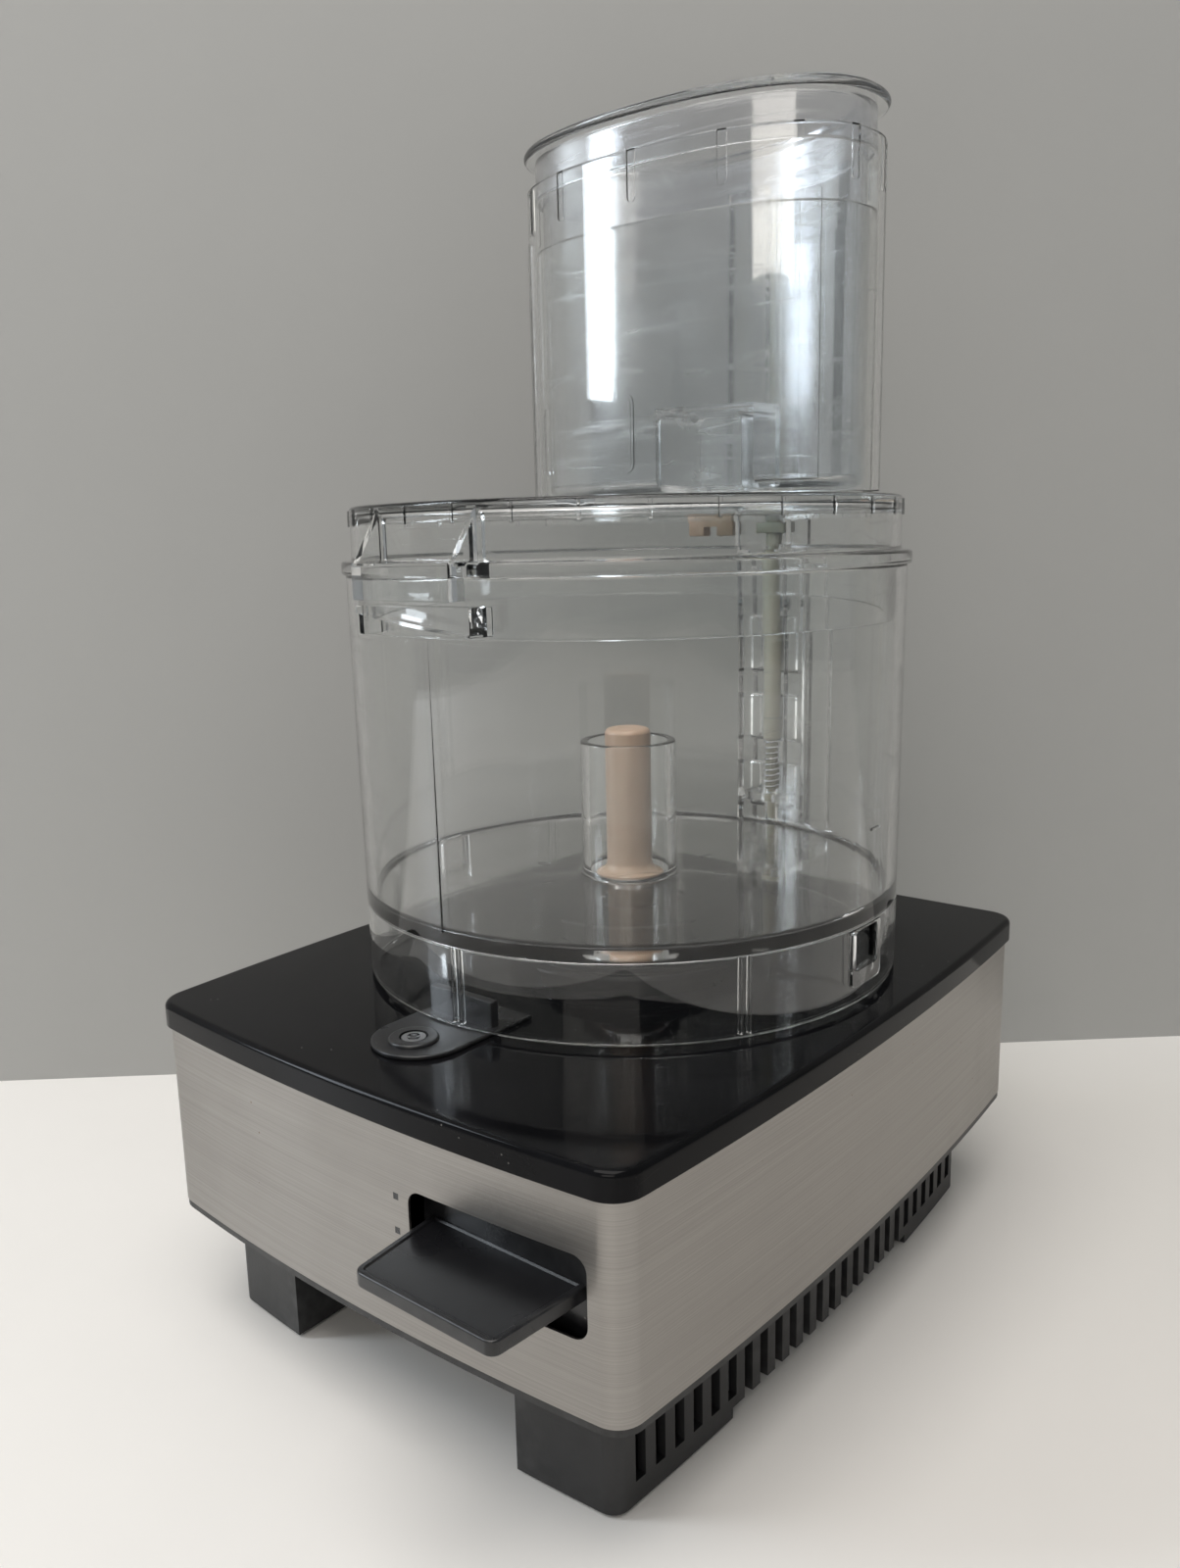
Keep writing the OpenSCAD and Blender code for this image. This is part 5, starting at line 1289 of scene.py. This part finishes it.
class Pusher:
    """The clear hollow pusher with its wide flange, collar and notch."""

    a = 57.1
    b = 29.2
    wall = 2.2

    def build(self) -> None:
        """Makes the pusher."""
        low, top = H.pusher_low, H.pusher_top
        section = [(-5.0, low), *arc(-3.0, low + 3.0, 3.0, 270, 360, 5), (0.0, top - 3.4), (0.8, top - 3.0),
                   *arc(1.5, top - 15.4, 0.6, 180, 270, 3), *arc(2.0, top - 15.4, 0.6, 270, 360, 3), (2.6, top - 3.0),
                   *arc(4.9, top - 1.5, 1.5, 270, 450, 8), (0.0, top - 0.5), *arc(-1.4, top - 1.4, 0.8, 90, 180, 3),
                   *arc(-4.2, low + 4.2, 2.0, 360, 270, 5)]
        bm = oval_skin(self.a, self.b, section, ring=False)
        pocket = prism([(4.3, 12.6), (20, 13.6), (35.7, 17.0), (35.7, 35.7), (4.3, 35.7)], [0, 0, 0, 3, 3], low + 0.4, low + 25.2, rim=0.4)
        bm = carve(bm, [pocket], "UNION")
        notch = prism([(6.5, low - 4), (33.5, low - 4), (33.5, low + 23), (6.5, low + 23)], [0, 0, 3.0, 3.0], -33.5, -2.0, segments=6)
        turned(notch, 90, "X")
        window = turned(block((-8, -6, -2.5), (8, 6, 2.5), 0.3), -20)
        bm = carve(bm, [notch, moved(window, -40, 7.8, top - 8)])
        piece = weigh_normals(hand_over(bm, "clear_pusher", Post("pusher", "clear", ("large_pusher",)), 38))
        piece.data.materials.append(MATERIALS["clear_hazy"])
        for face in piece.data.polygons:
            if face.center.z / MM < top - 4:
                face.material_index = 1


# ---------------------------------------------------------------- studio


class Studio:
    """The table, the wall, the lights and the camera."""

    def build(self) -> None:
        """Sets the scene round the product."""
        self._surfaces()
        self._lights()
        self._camera()

    def _plain(self, name: str, colour: Point, rough: float, one_sided: bool = False) -> bpy.types.Material:
        """A plain matt surface with faint unevenness; a one-sided one is clear from behind."""
        material = bpy.data.materials.new(name)
        material.use_nodes = True
        tree = Tree(material.node_tree)
        place = tree.add("TexCoord").outputs["Object"]
        group = tree.add("Group", node_tree=GROUPS.get("smudge"))
        group.inputs["Scale"].default_value = 2.2
        tree.join(place, group.inputs["Vector"])
        darker = tuple(0.955 * c for c in colour)
        bsdf = tree.add("BsdfPrincipled", in_Roughness=rough)
        tree.join(tree.blend(group.outputs[0], colour, darker), bsdf.inputs["Base Color"])
        surface = bsdf.outputs[0]
        if one_sided:
            mix, clear = tree.add("MixShader"), tree.add("BsdfTransparent")
            tree.join(tree.add("NewGeometry").outputs["Backfacing"], mix.inputs[0])
            tree.join(surface, mix.inputs[1])
            tree.join(clear.outputs[0], mix.inputs[2])
            surface = mix.outputs[0]
        tree.join(surface, tree.add("OutputMaterial").inputs["Surface"])
        return material

    def _surfaces(self) -> None:
        """A pale table and a soft grey wall behind it."""
        left, right = (-1.203, -0.873), (1.229, 1.282)
        table = [(*left, 0.0), (0.4, -2.6, 0.0), (2.6, -0.9, 0.0), (*right, 0.0), (0.6, 2.9, 0.0), (-2.6, 0.6, 0.0)]
        wall = [(*left, -0.6), (*right, -0.6), (*right, 1.7), (*left, 1.7)]
        rows = (("table", self._plain("table_top", (0.84, 0.815, 0.78), 0.38), table),
                ("wall", self._plain("wall_paint", (0.385, 0.385, 0.375), 0.62, one_sided=True), wall))
        for name, material, corners in rows:
            bm = bmesh.new()
            bm.faces.new([bm.verts.new(c) for c in corners])
            mesh = bpy.data.meshes.new(name)
            bm.to_mesh(mesh)
            bm.free()
            obj = bpy.data.objects.new(name, mesh)
            mesh.materials.append(material)
            bpy.context.scene.collection.objects.link(obj)

    def _lamp(self, name: str, place: Point, aim: Point, size: Point, power: float, colour: Point) -> None:
        """A rectangular soft light at a place, aimed at a point."""
        data = bpy.data.lights.new(name, "AREA")
        data.shape, data.size, data.size_y = "RECTANGLE", size[0], size[1]
        data.energy, data.color = power, colour
        obj = bpy.data.objects.new(name, data)
        obj.location = place
        obj.rotation_euler = (Vector(aim) - Vector(place)).to_track_quat("-Z", "Y").to_euler()
        bpy.context.scene.collection.objects.link(obj)

    def _lights(self) -> None:
        """A window to the left, a wide soft ceiling and a weak fill."""
        self._lamp("window_light", (-1.40, -1.00, 1.02), (0.0, 0.0, 0.42), (0.72, 1.15), 30.0, (0.84, 0.92, 1.0))
        self._lamp("ceiling_light", (0.1, -0.6, 1.9), (0.0, 0.0, 0.0), (1.6, 1.4), 29.0, (1.0, 0.965, 0.93))
        self._lamp("front_fill", (0.9, -1.9, 1.1), (0.1, 0.0, 0.0), (1.2, 0.8), 9.0, (1.0, 0.95, 0.88))
        world = bpy.data.worlds.new("room")
        world.use_nodes = True
        world.node_tree.nodes["Background"].inputs["Color"].default_value = (0.55, 0.58, 0.60, 1.0)
        world.node_tree.nodes["Background"].inputs["Strength"].default_value = 0.42
        bpy.context.scene.world = world

    def _camera(self) -> None:
        """The camera, low and close at the front right corner."""
        data = bpy.data.cameras.new("camera")
        data.lens, data.sensor_width = 28.35, 36.0
        camera = bpy.data.objects.new("camera", data)
        right, up, back = (0.77529, 0.63121, -0.02230), (-0.10808, 0.16737, 0.97995), (0.62229, -0.75734, 0.19798)
        turn = Matrix((right, up, back)).transposed()
        camera.matrix_world = Matrix.Translation((0.2399, -0.3116, 0.2385)) @ turn.to_4x4()
        data.clip_start = 0.01
        bpy.context.scene.collection.objects.link(camera)
        scene = bpy.context.scene
        scene.camera = camera
        scene.cycles.max_bounces = 24
        scene.cycles.transmission_bounces = 24
        scene.cycles.transparent_max_bounces = 24
        scene.cycles.glossy_bounces = 6
        scene.cycles.diffuse_bounces = 4
        scene.cycles.caustics_refractive = False
        scene.cycles.caustics_reflective = False
        scene.view_settings.view_transform = "Standard"


def main() -> None:
    """Builds every piece and the studio."""
    logging.basicConfig(level=logging.INFO, format="%(name)s: %(message)s")
    for maker in (Base(), Lever(), Motor(), Bowl(), Handle(), Lid(), Sleeve(), Pusher(), Studio()):
        maker.build()
        log.info("%s built", type(maker).__name__)


if __name__ == "__main__":
    main()
